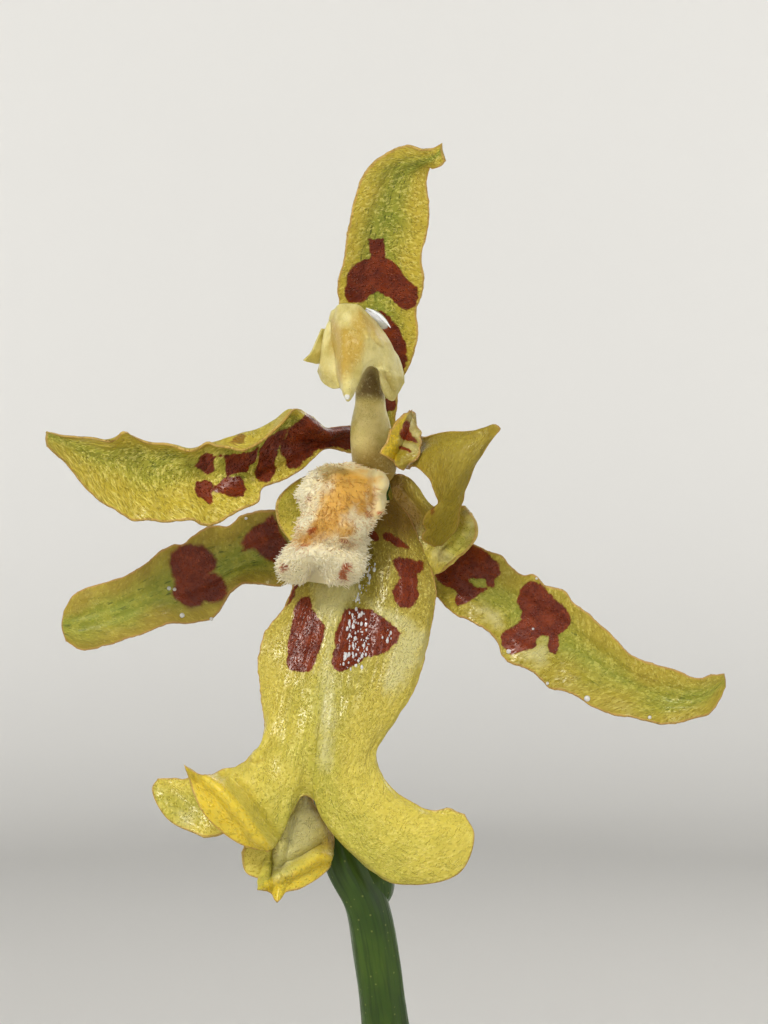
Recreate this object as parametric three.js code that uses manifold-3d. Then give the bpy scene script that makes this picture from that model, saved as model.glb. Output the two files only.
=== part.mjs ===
// Potted oncidium: a pot of bark with three pseudobulbs, their leaves, and a flower spike with one bloom.
// Millimetres, +Z up. The origin is the middle of the pot's flat foot. The bloom faces -Y.
import * as THREE from 'three';
import { mergeVertices } from 'three/addons/utils/BufferGeometryUtils.js';
import Module from 'manifold-3d';

const wasm = await Module();
wasm.setup();

// Driving dimensions
const CLEARANCE = 0.3;
const BLADE_THICKNESS = 0.6;
const LEAF_THICKNESS = 0.8;

// Pot
const POT_HEIGHT = 54;
const POT_FOOT_RADIUS = 21;
const POT_TOP_RADIUS = 29;
const POT_WALL = 3;
const POT_FLOOR = 4;
const RIM_HEIGHT = 12;
const RIM_STEP = 2;
const DRAIN_RADIUS = 2.6;
const DRAIN_RING = 11;
const DRAIN_COUNT = 4;
const POT_SIDES = 32;
const POT_BEVEL = 0.8;
const POT_FILLET = 1.5;

// Bark medium
const MEDIUM_TOP = 46;
const CHIP_COUNT = 28;
const CHIP_SIZE = [12, 7.5, 4.4];
const CHIP_EDGE_ROOM = 3.5;
const CHIP_TILT = 0.9;
const CHIP_RISE = [0.3, 2.1];
const GOLDEN_ANGLE = 2.39996;

// Bloom: the middle of its view and the distance it is seen from. Depths are + behind it, - before it.
const BLOOM_CENTRE = new THREE.Vector3(0, -26, 116);
const VIEW_DISTANCE = 250;

// Pseudobulbs: where each stands, its height, half width and half depth, its turn, and its lean
const BULB_FOOT = 49;
const BULB_SIDES = 20;
const BULB_RIBS = 5;
const RIB_DEPTH = 0.05;
// The share of its height, and of its girth there
const BULB_PROFILE = [
  [0, 0.42], [0.06, 0.66], [0.2, 0.93], [0.36, 1], [0.55, 0.93], [0.72, 0.76], [0.86, 0.52], [0.95, 0.33],
  [1, 0.22],
];
const BULBS = [
  { name: 'pseudobulb_front', x: 5, y: -8, height: 27, wide: 8.4, deep: 5,
    turn: 0.35, lean: [0.04, 0.02] },
  { name: 'pseudobulb_middle', x: -1.4, y: 3.2, height: 24, wide: 7.6, deep: 4.5,
    turn: 0.5, lean: [-0.06, 0.04] },
  { name: 'pseudobulb_back', x: -8.6, y: 13.4, height: 20, wide: 6.2, deep: 3.8,
    turn: 0.62, lean: [-0.08, 0.06] },
];

// Leaves: half width, how far the halves fold up at the foot and at the tip, and the keel from foot to tip
const LEAF_ROWS = 14;
const LEAF_COLUMNS = 4;
const LEAVES = [
  { name: 'leaf_front_right', wide: 6.2, fold: [0.95, 0.35],
    path: [[7.9, -7.6, 76.3], [12, -7, 83], [20, -5, 91],
      [29.5, -2, 99], [38.5, 2, 103.5], [46.5, 5, 103]] },
  { name: 'leaf_front_left', wide: 5.8, fold: [0.95, 0.3],
    path: [[4.1, -6.9, 76.3], [0, -3.6, 81.4], [-8, 1, 86],
      [-19, 6, 90.6], [-30, 10, 93.4], [-40, 13, 91.5]] },
  { name: 'leaf_middle_left', wide: 6, fold: [0.95, 0.3],
    path: [[-4.7, 3.1, 73.3], [-9, 1.6, 80], [-17, -1.6, 86],
      [-27, -5.5, 89.4], [-36.5, -10, 88.4], [-44.5, -14, 83.4]] },
  { name: 'leaf_middle_right', wide: 6, fold: [0.95, 0.3],
    path: [[-1.4, 5.4, 73.3], [2, 9.6, 79.6], [7.6, 17, 85.6],
      [15, 25, 90], [23.5, 32, 90.4], [31, 37, 86.5]] },
  { name: 'leaf_back', wide: 5.4, fold: [0.95, 0.35],
    path: [[-10.4, 14.8, 69.4], [-13, 18.2, 76], [-18, 23.6, 83],
      [-25, 30, 87.4], [-32, 36, 87], [-38, 40.5, 82.5]] },
  { name: 'leaf_basal', wide: 5.4, fold: [0.95, 0.35],
    path: [[14.6, -5.3, 51.4], [18, -6, 57], [23.5, -6.8, 65],
      [30.5, -8, 73.5], [38.5, -9.5, 79.5], [46, -11, 80]] },
];

// Dry sheaths: the pseudobulb each wraps, the way it faces, and the share of its height that it reaches
const SHEATH_STANDOFF = 1.05;
const SHEATH_FOOT = 51.5;
const SHEATH_REACH = 1.15;
const SHEATH_ROWS = 6;
const SHEATH_COLUMNS = 8;
const SHEATHS = [
  { name: 'sheath_front_left', bulb: 0, facing: 3.5, share: 0.62 },
  { name: 'sheath_middle', bulb: 1, facing: 3.7, share: 0.55 },
  { name: 'sheath_back', bulb: 2, facing: 4.1, share: 0.5 },
];

// Flower spike, from the foot of the front pseudobulb to its tip, with the places of its bracts along it
const SPIKE_PATH = [[8.4, -16.4, 47], [9.4, -17.6, 54], [12, -20, 66], [12.6, -22.6, 78], [9.8, -24, 86.8],
  [4.8, -23.9, 91.3], [0.5, -23.6, 92.5], [-4, -23.9, 92.3], [-8, -24.8, 90.5]];
const SPIKE_RADII = [1.35, 0.95];
const SPIKE_STEPS = 22;
const BRACT_ROWS = 6;
const BRACTS = [
  { name: 'spike_bract_lower', at: 0.2, length: 8, wide: 2.4 },
  { name: 'spike_bract_middle', at: 0.5, length: 7, wide: 2.1 },
];

// Roots that lie over the bark: each from the rhizome to where it dips into the bark
const RHIZOME_PATH = [
  [-11, 16.4, 46.6], [-7.6, 11.4, 46.3], [-2, 3.6, 46.2], [2, -3, 46.3], [7, -11, 46.6],
];
const RHIZOME_RADIUS = 2;
const ROOT_RADII = [1.1, 0.88];
const ROOTS = [
  [[4, -6, 46.6], [-2, -12, 49.2], [-8, -16, 49.4], [-13, -16.4, 47.8], [-16.5, -13.6, 44]],
  [[3, -4, 46.4], [11, 1, 49], [17, 6, 49.6], [18, 12, 48.6], [14.4, 15.6, 44]],
  [[-5, 8, 46.4], [1, 13, 49], [3, 17.6, 49.2], [0.5, 20.4, 47.6], [-3.6, 20.6, 43.6]],
  [[-6, 9, 46.4], [-13, 4, 49], [-18.4, -1.6, 49], [-18.6, -7, 47.4], [-15.4, -8.6, 43.6]],
];

// Lines of each tepal from its foot to its tip, as [across, up, depth] from the middle of the view
const DORSAL_SEPAL = [
  // left
  [[-0.4, 2.5, 1.3], [-0.5, 3.5, 1.2], [-0.95, 4.95, 0.9], [-1.45, 6, 0.7], [-1.6, 7.2, 0.2],
    [-1.65, 8.25, -0.3], [-1.5, 8.9, -0.6], [-1.35, 9.95, -1], [-1.2, 10.8, -1.3], [-0.95, 11.6, -1.6],
    [-0.65, 12.3, -1.9], [0, 12.9, -2.1], [0.75, 13.2, -2.3], [1.35, 13.05, -2.6], [1.75, 13.1, -2.8],
    [2.1, 13.3, -2.9]],
  // mid
  [[-0.05, 2.5, 1.2], [-0.05, 3.65, 1.1], [-0.05, 5.3, 0.9], [-0.15, 6.9, 0.5], [-0.15, 8.35, 0.1],
    [0, 9.8, -0.4], [0.2, 11.05, -1], [0.65, 12.25, -1.6], [1.35, 12.65, -2.2], [1.75, 12.75, -2.6],
    [2.1, 13, -2.9]],
  // right
  [[0.3, 2.5, 1.3], [0.45, 3.6, 1.1], [0.55, 4.3, 1], [0.95, 5.35, 0.6], [1.25, 6.35, 0.2],
    [1.15, 7.25, 0], [1.45, 8.05, -0.3], [1.35, 9.2, -0.7], [1.5, 9.8, -0.9], [1.65, 10.8, -1.2],
    [1.55, 11.6, -1.5], [1.65, 12.45, -1.9], [1.8, 12.35, -2.3], [2, 12.45, -2.7], [2.2, 12.65, -2.9]],
];

const LEFT_PETAL = [
  // crest
  [[-0.8, 2.85, 1.1], [-1.4, 2.9, 0.5], [-2.1, 2.8, -0.2], [-2.75, 3.15, -0.9], [-3.35, 3.55, -1.2],
    [-3.95, 3.15, -1], [-4.55, 2.9, -1.2], [-5.15, 2.75, -1.6], [-5.75, 2.5, -1.7],
    [-6.35, 2.35, -1.5], [-7.05, 2.15, -1.6], [-7.65, 2.25, -1.5], [-8.3, 2.25, -1.5],
    [-8.9, 2.4, -1.7], [-9.45, 2.5, -2.1], [-9.85, 2.4, -2.1], [-10.6, 2.5, -2.1], [-11.4, 2.65, -2.3],
    [-12.15, 2.9, -2.8]],
  // mid
  [[-0.8, 2.5, 1.2], [-1.45, 2.65, 0.6], [-2.4, 2.55, 0.1], [-3.2, 2.4, -0.4], [-4.05, 2, -0.7],
    [-5, 1.55, -0.9], [-6.1, 1.1, -1], [-7.35, 1, -1.1], [-8.4, 1.1, -1.3], [-9.5, 1.45, -1.6],
    [-10.5, 1.85, -1.9], [-11.4, 2.25, -2.3], [-12.2, 2.65, -2.8]],
  // low
  [[-0.8, 2.1, 1.2], [-1.35, 2.15, 0.7], [-2.1, 2.25, 0.1], [-2.6, 1.85, -0.3], [-3, 1.5, -0.7],
    [-3.65, 1.15, -1], [-4.4, 0.85, -1.5], [-4.55, 0.35, -1.8], [-5.25, 0.05, -1.9],
    [-6.25, -0.45, -1.8], [-6.95, -0.25, -2.1], [-7.7, -0.4, -1.9], [-8.4, -0.3, -2.1],
    [-9.1, -0.3, -2], [-9.65, 0.05, -2.1], [-10.3, 0.45, -2.1], [-10.9, 1.05, -2.2],
    [-11.45, 1.75, -2.4], [-12.15, 2.35, -2.8]],
];

const RIGHT_PETAL = [
  // outer
  [[0.7, 2.75, 1.3], [0.95, 2.95, 0.2], [1.25, 2.75, -1.4], [1.7, 2.75, -2.9], [2.35, 2.85, -4],
    [3.3, 2.95, -4.6], [4.15, 3.05, -4.8], [3.7, 2.25, -4.9], [3.3, 1.55, -4.8], [3, 0.85, -4.4],
    [2.85, 0.2, -3.5], [2.65, -0.65, -2.3], [2.35, -1.2, -1.7]],
  // mid
  [[0.7, 2.15, 1.2], [1.1, 2.4, 0], [1.5, 2.4, -2.2], [2, 2.35, -4.2], [2.65, 2.15, -5],
    [2.65, 1.5, -5], [2.45, 0.8, -4.5], [2.25, 0.05, -3.6], [2.05, -0.7, -2.2], [1.95, -1.25, -1.6]],
  // inner
  [[0.7, 1.6, 1.2], [1, 1.5, -0.2], [1.05, 1.6, -2.2], [1.1, 1.6, -3.2], [1.4, 1.4, -3.8],
    [1.75, 1, -3.9], [1.9, 0.45, -3.6], [1.7, 0.05, -3.1], [1.4, -0.4, -2.5], [1.5, -0.65, -2.2],
    [1.4, -0.95, -1.9], [1.6, -1.3, -1.6]],
];

const RIGHT_PETAL_FLAP = [
  // outer
  [[0.9, 3.65, -2.4], [0.65, 3.4, -2.9], [0.3, 2.95, -3.4], [0, 2.5, -3.7], [-0.05, 2.1, -3.6]],
  // inner
  [[1, 3.55, -2.4], [1.15, 2.9, -2.7], [1, 2.4, -3.2], [0.75, 2, -3.5], [0.5, 1.65, -3.4]],
  // root
  [[1.05, 3.4, -2.2], [1.45, 2.6, -3], [1.3, 2.15, -3.6], [1, 1.75, -3.5], [0.7, 1.5, -3.3]],
];

const LEFT_LATERAL_SEPAL = [
  // upper
  [[-0.45, 1.2, 1.2], [-1.4, 0.7, 1.3], [-2.65, 0.15, 1.4], [-4, 0.05, 1.3], [-5.1, -0.1, 1.5],
    [-5.55, -0.45, 1.7], [-6.3, -0.55, 1.7], [-6.9, -0.85, 1.8], [-7.25, -1.15, 2], [-7.65, -1.2, 1.9],
    [-8.15, -1.5, 2], [-8.8, -2, 2.2], [-9.6, -2.4, 2.4], [-10.2, -2.6, 2.6], [-10.8, -2.75, 2.7],
    [-11.25, -3.05, 2.8], [-11.5, -3.6, 2.9]],
  // mid
  [[-0.4, 0.95, 1.2], [-1.6, 0, 1.4], [-3, -0.85, 1.7], [-4.45, -1.5, 1.9], [-5.9, -2.1, 2.1],
    [-7.35, -2.65, 2.2], [-8.8, -3.25, 2.4], [-10.2, -3.8, 2.7], [-11.6, -4.1, 2.9]],
  // lower
  [[-0.3, 0.65, 1.2], [-1.4, -0.65, 1.4], [-2.65, -2.15, 1.5], [-3.75, -2.65, 1.4], [-4.6, -2.6, 1.5],
    [-5.15, -2.65, 1.6], [-5.5, -2.9, 1.8], [-5.95, -3.6, 1.9], [-6.35, -3.9, 1.9], [-7, -4, 2],
    [-7.8, -4.05, 2], [-8.45, -4.3, 2.2], [-9.15, -4.55, 2.4], [-10.1, -4.85, 2.6],
    [-10.95, -4.95, 2.8], [-11.45, -4.65, 2.9]],
];

const RIGHT_LATERAL_SEPAL = [
  // upper
  [[0.35, 1.2, 1.2], [1.3, 0.25, 1.1], [2.3, -0.65, 0.7], [3.15, -1.1, 0.2], [3.7, -1.4, -0.1],
    [4.25, -1.55, -0.3], [4.55, -1.95, -0.2], [4.95, -2.25, -0.3], [5.45, -2.25, -0.6],
    [5.85, -2.65, -0.5], [6.45, -2.8, -0.6], [6.8, -3.2, -0.6], [7.55, -3.8, -0.7], [8.15, -4.4, -0.8],
    [8.85, -5.1, -0.9], [9.6, -5.45, -1], [10.5, -5.7, -1.1], [11.4, -6, -1.1], [11.8, -5.85, -0.9],
    [12.25, -5.8, -0.5]],
  // mid
  [[0.25, 0.95, 1.2], [1.1, -0.45, 1.1], [2.2, -1.65, 0.5], [3.65, -2.8, 0.1], [5.1, -3.8, -0.1],
    [6.7, -4.85, -0.3], [8.3, -5.85, -0.6], [9.95, -6.6, -0.8], [11.4, -6.7, -1], [12.3, -6.05, -0.6]],
  // lower
  [[0.15, 0.65, 1.2], [0.75, -1, 1.2], [1.5, -2.45, 0.9], [2.1, -3.3, 0.3], [2.5, -3.65, 0],
    [3.05, -3.9, -0.3], [3.7, -4.3, -0.4], [4.1, -4.7, -0.3], [4.25, -5.15, -0.4], [4.55, -5.45, -0.6],
    [5.15, -5.65, -0.7], [5.6, -6, -0.6], [5.95, -6.35, -0.6], [6.35, -6.4, -0.8], [6.9, -6.6, -0.9],
    [7.4, -6.95, -0.9], [8, -7.25, -1], [8.85, -7.4, -1.1], [9.6, -7.55, -1.2], [10.3, -7.65, -1.2],
    [11, -7.5, -1.2], [11.65, -7.3, -1.2], [12.1, -6.75, -1], [12.3, -6.3, -0.7]],
];

// The lip's lines run from its foot, fanwise to its margin, from its right edge round to its left
const LIP_BLADE = [
  // right margin
  [[0.5, 0.45, 0.1], [0.85, -0.3, -0.2], [1.6, -1.8, -0.7], [1.9, -2.9, -1.1], [1.75, -3.65, -1.4],
    [1.65, -4.55, -1.7], [1.4, -5.4, -2], [1.1, -6.4, -2.3], [0.55, -7.2, -2.5], [0, -7.9, -2.5],
    [-0.2, -8.8, -2.6], [0.2, -9.9, -2.8], [1.1, -10.5, -2.9], [1.65, -10.75, -3], [2.25, -10.7, -3.1],
    [2.9, -10.9, -3.1]],
  // right lobe tip
  [[0.3, 0.4, 0], [0.65, -0.3, -0.4], [1.1, -1.9, -1], [1.35, -3.15, -1.5], [1.2, -4.6, -2],
    [0.75, -6.05, -2.5], [0.15, -7.25, -2.7], [-0.55, -8.75, -2.8], [-0.1, -10.2, -2.95],
    [1.2, -11.15, -3.1], [2.4, -11.5, -3.2], [3.25, -11.6, -3.1]],
  // right lobe low
  [[0.15, 0.35, -0.1], [0.35, -0.45, -0.6], [0.65, -2.25, -1.3], [0.65, -4.25, -2],
    [0.05, -6.4, -2.7], [-0.8, -8.55, -3], [-0.95, -9.45, -3.1], [-0.6, -10.55, -3.2],
    [0.5, -11.6, -3.3], [1.75, -12.35, -3.3], [2.75, -12.95, -3.1]],
  // right lobe bottom
  [[-0.05, 0.3, -0.1], [0.05, -0.65, -0.7], [0.1, -2.65, -1.5], [-0.05, -4.8, -2.2],
    [-0.65, -6.95, -2.9], [-1.2, -8.5, -3.1], [-1.45, -9.65, -3.2], [-1.2, -10.75, -3.3],
    [-0.5, -11.75, -3.4], [0.45, -12.6, -3.4], [1.45, -13.4, -3.2]],
  // right lobe inner
  [[-0.25, 0.3, -0.2], [-0.25, -0.85, -0.7], [-0.45, -3, -1.5], [-0.75, -5.15, -2.3],
    [-1.3, -7.3, -3], [-1.75, -8.75, -3.2], [-1.95, -9.85, -3.2], [-1.7, -10.9, -3.3],
    [-1.15, -11.9, -3.3], [-0.35, -12.65, -3.2], [0.45, -13.3, -3.1]],
  // notch right
  [[-0.45, 0.25, -0.2], [-0.6, -1, -0.6], [-1.05, -3.35, -1.4], [-1.45, -5.5, -2.2],
    [-1.85, -7.5, -3], [-2.2, -8.85, -3.2], [-2.4, -9.85, -3.1], [-2.3, -10.6, -3],
    [-1.85, -11.35, -2.8], [-1.2, -12.1, -2.6], [-0.65, -12.6, -2.4]],
  // notch
  [[-0.7, 0.2, -0.2], [-0.95, -1.1, -0.6], [-1.6, -3.45, -1.4], [-2.1, -5.7, -2.2], [-2.5, -7.55, -3],
    [-2.75, -8.75, -3.2], [-2.9, -9.6, -3.1], [-2.9, -10.2, -2.8]],
  // notch left
  [[-0.95, 0.2, -0.2], [-1.35, -1.2, -0.6], [-2.15, -3.55, -1.4], [-2.75, -5.75, -2.2],
    [-3.1, -7.55, -3], [-3.3, -8.75, -3.3], [-3.55, -9.85, -3.4], [-3.8, -10.9, -3.5],
    [-4.05, -12.15, -3.5]],
  // left lobe bottom
  [[-1.2, 0.15, -0.2], [-1.75, -1.2, -0.6], [-2.65, -3.45, -1.3], [-3.25, -5.6, -2.1],
    [-3.6, -7.4, -2.8], [-3.9, -8.65, -3.2], [-4.3, -9.85, -3.6], [-4.7, -10.9, -3.8],
    [-5.1, -12, -3.8]],
  // left lobe side
  [[-1.45, 0.15, -0.1], [-2.25, -1.2, -0.5], [-3.15, -3.4, -1.2], [-3.75, -5.45, -1.9],
    [-4.05, -7.2, -2.5], [-4.4, -8.5, -3], [-5, -9.6, -3.5], [-5.7, -10.35, -3.9], [-6.55, -10.8, -4]],
  // left margin
  [[-1.7, 0.15, 0], [-2.75, -1.2, -0.4], [-3.5, -3.3, -1], [-4.05, -4.05, -1.2], [-4.4, -4.8, -1.5],
    [-4.55, -5.4, -1.7], [-4.45, -6.4, -2], [-4.35, -7.4, -2.3], [-4.45, -8.35, -2.6],
    [-4.95, -8.9, -2.8], [-5.6, -9.2, -3], [-6.35, -9.45, -3.4], [-6.85, -9.3, -3.8],
    [-7.2, -9.05, -4.1]],
];

const LIP_BACK_LOBE = [
  // top
  [[-4.05, -8.65, -2.9], [-5.25, -9.2, -2.2], [-6.45, -9.55, -1.6], [-7.35, -9.6, -1.3],
    [-8.15, -9.6, -1.2]],
  // side
  [[-4.05, -9.1, -3], [-5.45, -9.85, -2.2], [-7.05, -10.2, -1.6], [-8.35, -9.95, -1.3]],
  // bottom
  [[-4.05, -9.65, -3.1], [-5.4, -10.45, -2.3], [-6.75, -10.9, -1.8], [-7.85, -11, -1.6]],
  // inner
  [[-4.05, -10.2, -3.2], [-5.05, -11, -2.4], [-5.85, -11.6, -2.1], [-6.5, -11.7, -2.1]],
];

const LIP_FOLD = [
  // right
  [[-2.7, -10.1, -2.5], [-2.25, -10.8, -2], [-1.8, -11.4, -1.6], [-1.5, -11.9, -1.3]],
  // hook
  [[-2.85, -10.1, -2.6], [-2.65, -11.1, -2.2], [-2.4, -12, -2.1], [-1.95, -12.6, -2.4]],
  // middle
  [[-3, -10.15, -2.7], [-3.1, -11.3, -2.5], [-2.9, -12.55, -2.6], [-2.65, -13.4, -3.2]],
  // front
  [[-3.15, -10.2, -2.8], [-3.55, -11.45, -2.7], [-3.6, -12.7, -2.8], [-3.6, -13.75, -3.4]],
  // point
  [[-3.3, -10.2, -2.9], [-3.95, -11.5, -2.8], [-4.4, -12.65, -2.8], [-4.55, -13.6, -3.4]],
  // left
  [[-3.4, -10.25, -2.9], [-4.25, -11.3, -2.9], [-4.75, -12.15, -2.8], [-4.95, -12.95, -2.9]],
];

const LIP_RIGHT_LOBE = [
  // upper
  [[0.15, 1.3, 0.3], [0.7, 1.35, 0.3], [1.2, 0.85, 0.1], [1.7, 0.25, -0.2], [2.25, 0.05, -0.8],
    [2.65, 0.2, -1.5], [2.9, 0.2, -2]],
  // outer high
  [[0.3, 0.6, 0.1], [1.1, 0.25, 0], [2, -0.3, -0.4], [2.75, -0.35, -1.2], [3.25, -0.25, -2.1]],
  // outer
  [[0.35, -0.1, 0], [1.3, -0.65, -0.2], [2.2, -0.95, -0.7], [2.85, -0.95, -1.5], [3.3, -0.8, -2.2]],
  // outer low
  [[0.45, -0.85, -0.2], [1.2, -1.45, -0.5], [2, -1.6, -1], [2.65, -1.5, -1.6], [3, -1.35, -2]],
  // lower
  [[0.5, -1.75, -0.5], [1, -2.15, -0.8], [1.55, -2.25, -1.2], [2, -2.1, -1.6], [2.35, -1.85, -1.9]],
];

const LIP_LEFT_LOBE = [
  // upper
  [[-1.15, 1.4, 0.3], [-1.95, 1.45, 0.1], [-2.55, 1.4, -0.1], [-3, 1.2, -0.3]],
  // outer
  [[-1.3, 0.2, 0.1], [-2.4, 0.2, 0.1], [-3.2, 0.3, -0.2], [-3.85, 0.35, -0.7]],
  // outer low
  [[-1.35, -0.35, 0], [-2.3, -0.5, 0], [-3.1, -0.45, -0.2], [-3.8, -0.35, -0.6]],
  // lower
  [[-1.45, -1, -0.2], [-2.25, -1.2, -0.2], [-2.9, -1.2, -0.3], [-3.4, -1.05, -0.4]],
];

// Column, with the hood over its tip and the wing at its left
const HOOD_THICKNESS = 0.5;
const WING_THICKNESS = 0.45;
const COLUMN_AXIS = [
  // axis
  [[-0.25, 1, 0.4], [-0.35, 1.8, -0.1], [-0.45, 2.6, -0.6], [-0.5, 3.4, -1.1], [-0.5, 4.1, -1.5],
    [-0.55, 4.8, -1.9], [-0.65, 5.55, -2.2], [-0.85, 6.35, -2.3], [-1, 6.9, -2.2]],
];
const COLUMN_RADII = [0.5, 0.62, 0.68, 0.66, 0.63, 0.62, 0.62, 0.6, 0.45];

const HOOD = [
  // left
  [[-1.7, 7.25, -2], [-1.9, 6.35, -1.7], [-2.2, 5.45, -1.4], [-2.25, 4.9, -1.4]],
  // left lobe
  [[-1.65, 7.3, -2.3], [-1.9, 6.2, -2.5], [-2.1, 5.1, -2.5], [-2, 4.45, -2.3]],
  // beak
  [[-1.35, 7.4, -2.8], [-1.45, 6, -4], [-1.4, 4.75, -4.1], [-1.3, 4.05, -3.9]],
  // arch
  [[-0.85, 7.35, -2.8], [-0.65, 6.25, -3.9], [-0.6, 5.6, -3.8], [-0.6, 5.2, -3.7]],
  // right lobe
  [[-0.45, 6.9, -2.3], [0.1, 5.85, -2.8], [0.3, 5.05, -2.6], [0.25, 4.2, -2.3]],
  // tooth
  [[-0.35, 6.7, -2], [0.3, 5.6, -1.9], [0.6, 5.05, -1.8], [0.7, 4.7, -1.9]],
];

const WING = [
  // upper
  [[-1.7, 7, -1.9], [-1.95, 6.5, -2], [-2.2, 6.6, -2.2]],
  // middle
  [[-1.75, 6.25, -1.8], [-2.15, 6.05, -2], [-2.55, 6, -2.4]],
  // lower
  [[-1.85, 5.55, -1.7], [-2.3, 5.35, -2], [-2.85, 5.45, -2.6]],
];

// Callus rows from its top to its foot: up, left edge, right edge, front depth
const CALLUS_ROWS = [
  [1.72, -1.9, -0.1, -1.5], [1.3, -2.7, 0.25, -2.5], [0.85, -3.1, 0.3, -3.1], [0.4, -3.15, 0.1, -3.4],
  [-0.1, -3.1, -0.3, -3.6], [-0.6, -3.25, -0.5, -3.6], [-1.1, -3.5, -0.65, -3.5], [-1.6, -3.75, -0.8, -3.3],
  [-2.1, -3.7, -0.95, -3.1], [-2.5, -2.6, -1.3, -2.8], [-2.75, -2, -1.5, -2.5],
];
const CALLUS_BACK = -0.9;
const CALLUS_SIDES = 14;
const PAPILLA_COUNT = 56;
const PAPILLA_RADIUS = 0.15;
const PAPILLA_LENGTH = 0.5;

const PEDICEL_AXIS = [
  // axis
  [[-0.05, 1.5, 2.5], [-0.25, 0.45, 3.2], [-0.85, -1.75, 3.3], [-1.5, -4.95, 2.6], [-1.85, -8.2, 1.4],
    [-1.75, -10.8, 0.2], [-1.35, -12.6, -0.3], [-0.65, -14.05, -0.2], [-0.25, -16.15, 0.3],
    [0.05, -18.45, 1.1], [0.35, -20.65, 2], [0.55, -21.7, 2.4]],
];
const PEDICEL_RADII = [0.86, 0.95, 0.95, 0.88, 0.84, 0.83, 0.83, 0.83, 0.85, 0.88, 0.9, 0.92];

// A repeatable draw between 0 and 1
function makeDraw(seed) {
  let state = seed;
  return () => {
    state = (state * 1664525 + 1013904223) % 4294967296;
    return state / 4294967296;
  };
}

// Where a point of the bloom's view lies: its depth slides it along its line of sight
function sight([acrossView, up, depth]) {
  const spread = 1 + depth / VIEW_DISTANCE;
  return new THREE.Vector3(acrossView * spread, depth, up * spread).add(BLOOM_CENTRE);
}

const point = ([x, y, z]) => new THREE.Vector3(x, y, z);
const curve = (points) => new THREE.CatmullRomCurve3(points, false, 'centripetal');
const mix = (a, b, share) => a + (b - a) * share;

// A closed body through rings of points. A ring's second half runs back under its first, split alike.
function loft(rings) {
  const count = rings[0].length;
  const half = count / 2;
  const positions = rings.flat().flatMap((p) => [p.x, p.y, p.z]);
  const index = [];
  const quad = (a, b, c, d) => index.push(a, b, c, a, c, d);
  for (let r = 0; r < rings.length - 1; r += 1) {
    for (let i = 0; i < count; i += 1) {
      const next = (i + 1) % count;
      const [a, b] = [r * count + i, r * count + next];
      const [c, d] = [b + count, a + count];
      if (i < half) quad(a, b, c, d);
      else quad(b, c, d, a);
    }
  }
  const last = (rings.length - 1) * count;
  for (let i = 0; i < half - 1; i += 1) {
    const [a, b, c, d] = [i, i + 1, count - 2 - i, count - 1 - i];
    quad(d, c, b, a);
    quad(last + a, last + b, last + c, last + d);
  }
  const geometry = new THREE.BufferGeometry();
  geometry.setAttribute('position', new THREE.Float32BufferAttribute(positions, 3));
  geometry.setIndex(index);
  return volumeOf(geometry) < 0 ? turnedOut(geometry) : geometry;
}

function volumeOf(geometry) {
  const position = geometry.attributes.position;
  const [a, b, c] = [new THREE.Vector3(), new THREE.Vector3(), new THREE.Vector3()];
  let volume = 0;
  for (let i = 0; i < geometry.index.count; i += 3) {
    a.fromBufferAttribute(position, geometry.index.getX(i));
    b.fromBufferAttribute(position, geometry.index.getX(i + 1));
    c.fromBufferAttribute(position, geometry.index.getX(i + 2));
    volume += a.dot(b.cross(c)) / 6;
  }
  return volume;
}

function turnedOut(geometry) {
  const index = Array.from(geometry.index.array);
  for (let i = 0; i < index.length; i += 3) [index[i], index[i + 2]] = [index[i + 2], index[i]];
  geometry.setIndex(index);
  return geometry;
}

// A sheet through lines from foot to tip: a grid of points, and two faces half the thickness away from it
function sheet(lines, rows, columns, thickness) {
  const spaced = lines.map((line) => curve(line).getSpacedPoints(rows));
  const grid = [];
  for (let r = 0; r <= rows; r += 1) {
    const rib = curve(spaced.map((points) => points[r]));
    grid.push(Array.from({ length: columns + 1 }, (_, c) => rib.getPoint(c / columns)));
  }
  const normals = evened(evened(grid.map((row, r) => row.map((_, c) => {
    const along = grid[Math.min(r + 1, rows)][c].clone().sub(grid[Math.max(r - 1, 0)][c]);
    const over = row[Math.min(c + 1, columns)].clone().sub(row[Math.max(c - 1, 0)]);
    return along.cross(over).normalize();
  }))));
  return loft(grid.map((row, r) => {
    const top = row.map((p, c) => p.clone().addScaledVector(normals[r][c], thickness / 2));
    const bottom = row.map((p, c) => p.clone().addScaledVector(normals[r][c], -thickness / 2));
    return [...top, ...bottom.reverse()];
  }));
}

// A grid of directions, each averaged with its neighbours so that the two faces of a sharp fold stay apart
function evened(grid) {
  return grid.map((row, r) => row.map((_, c) => {
    const sum = new THREE.Vector3();
    for (let i = Math.max(r - 1, 0); i <= Math.min(r + 1, grid.length - 1); i += 1) {
      for (let j = Math.max(c - 1, 0); j <= Math.min(c + 1, row.length - 1); j += 1) sum.add(grid[i][j]);
    }
    return sum.normalize();
  }));
}

const bloomSheet = (lines, rows, columns, thickness = BLADE_THICKNESS) =>
  sheet(lines.map((line) => line.map(sight)), rows, columns, thickness);

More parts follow.
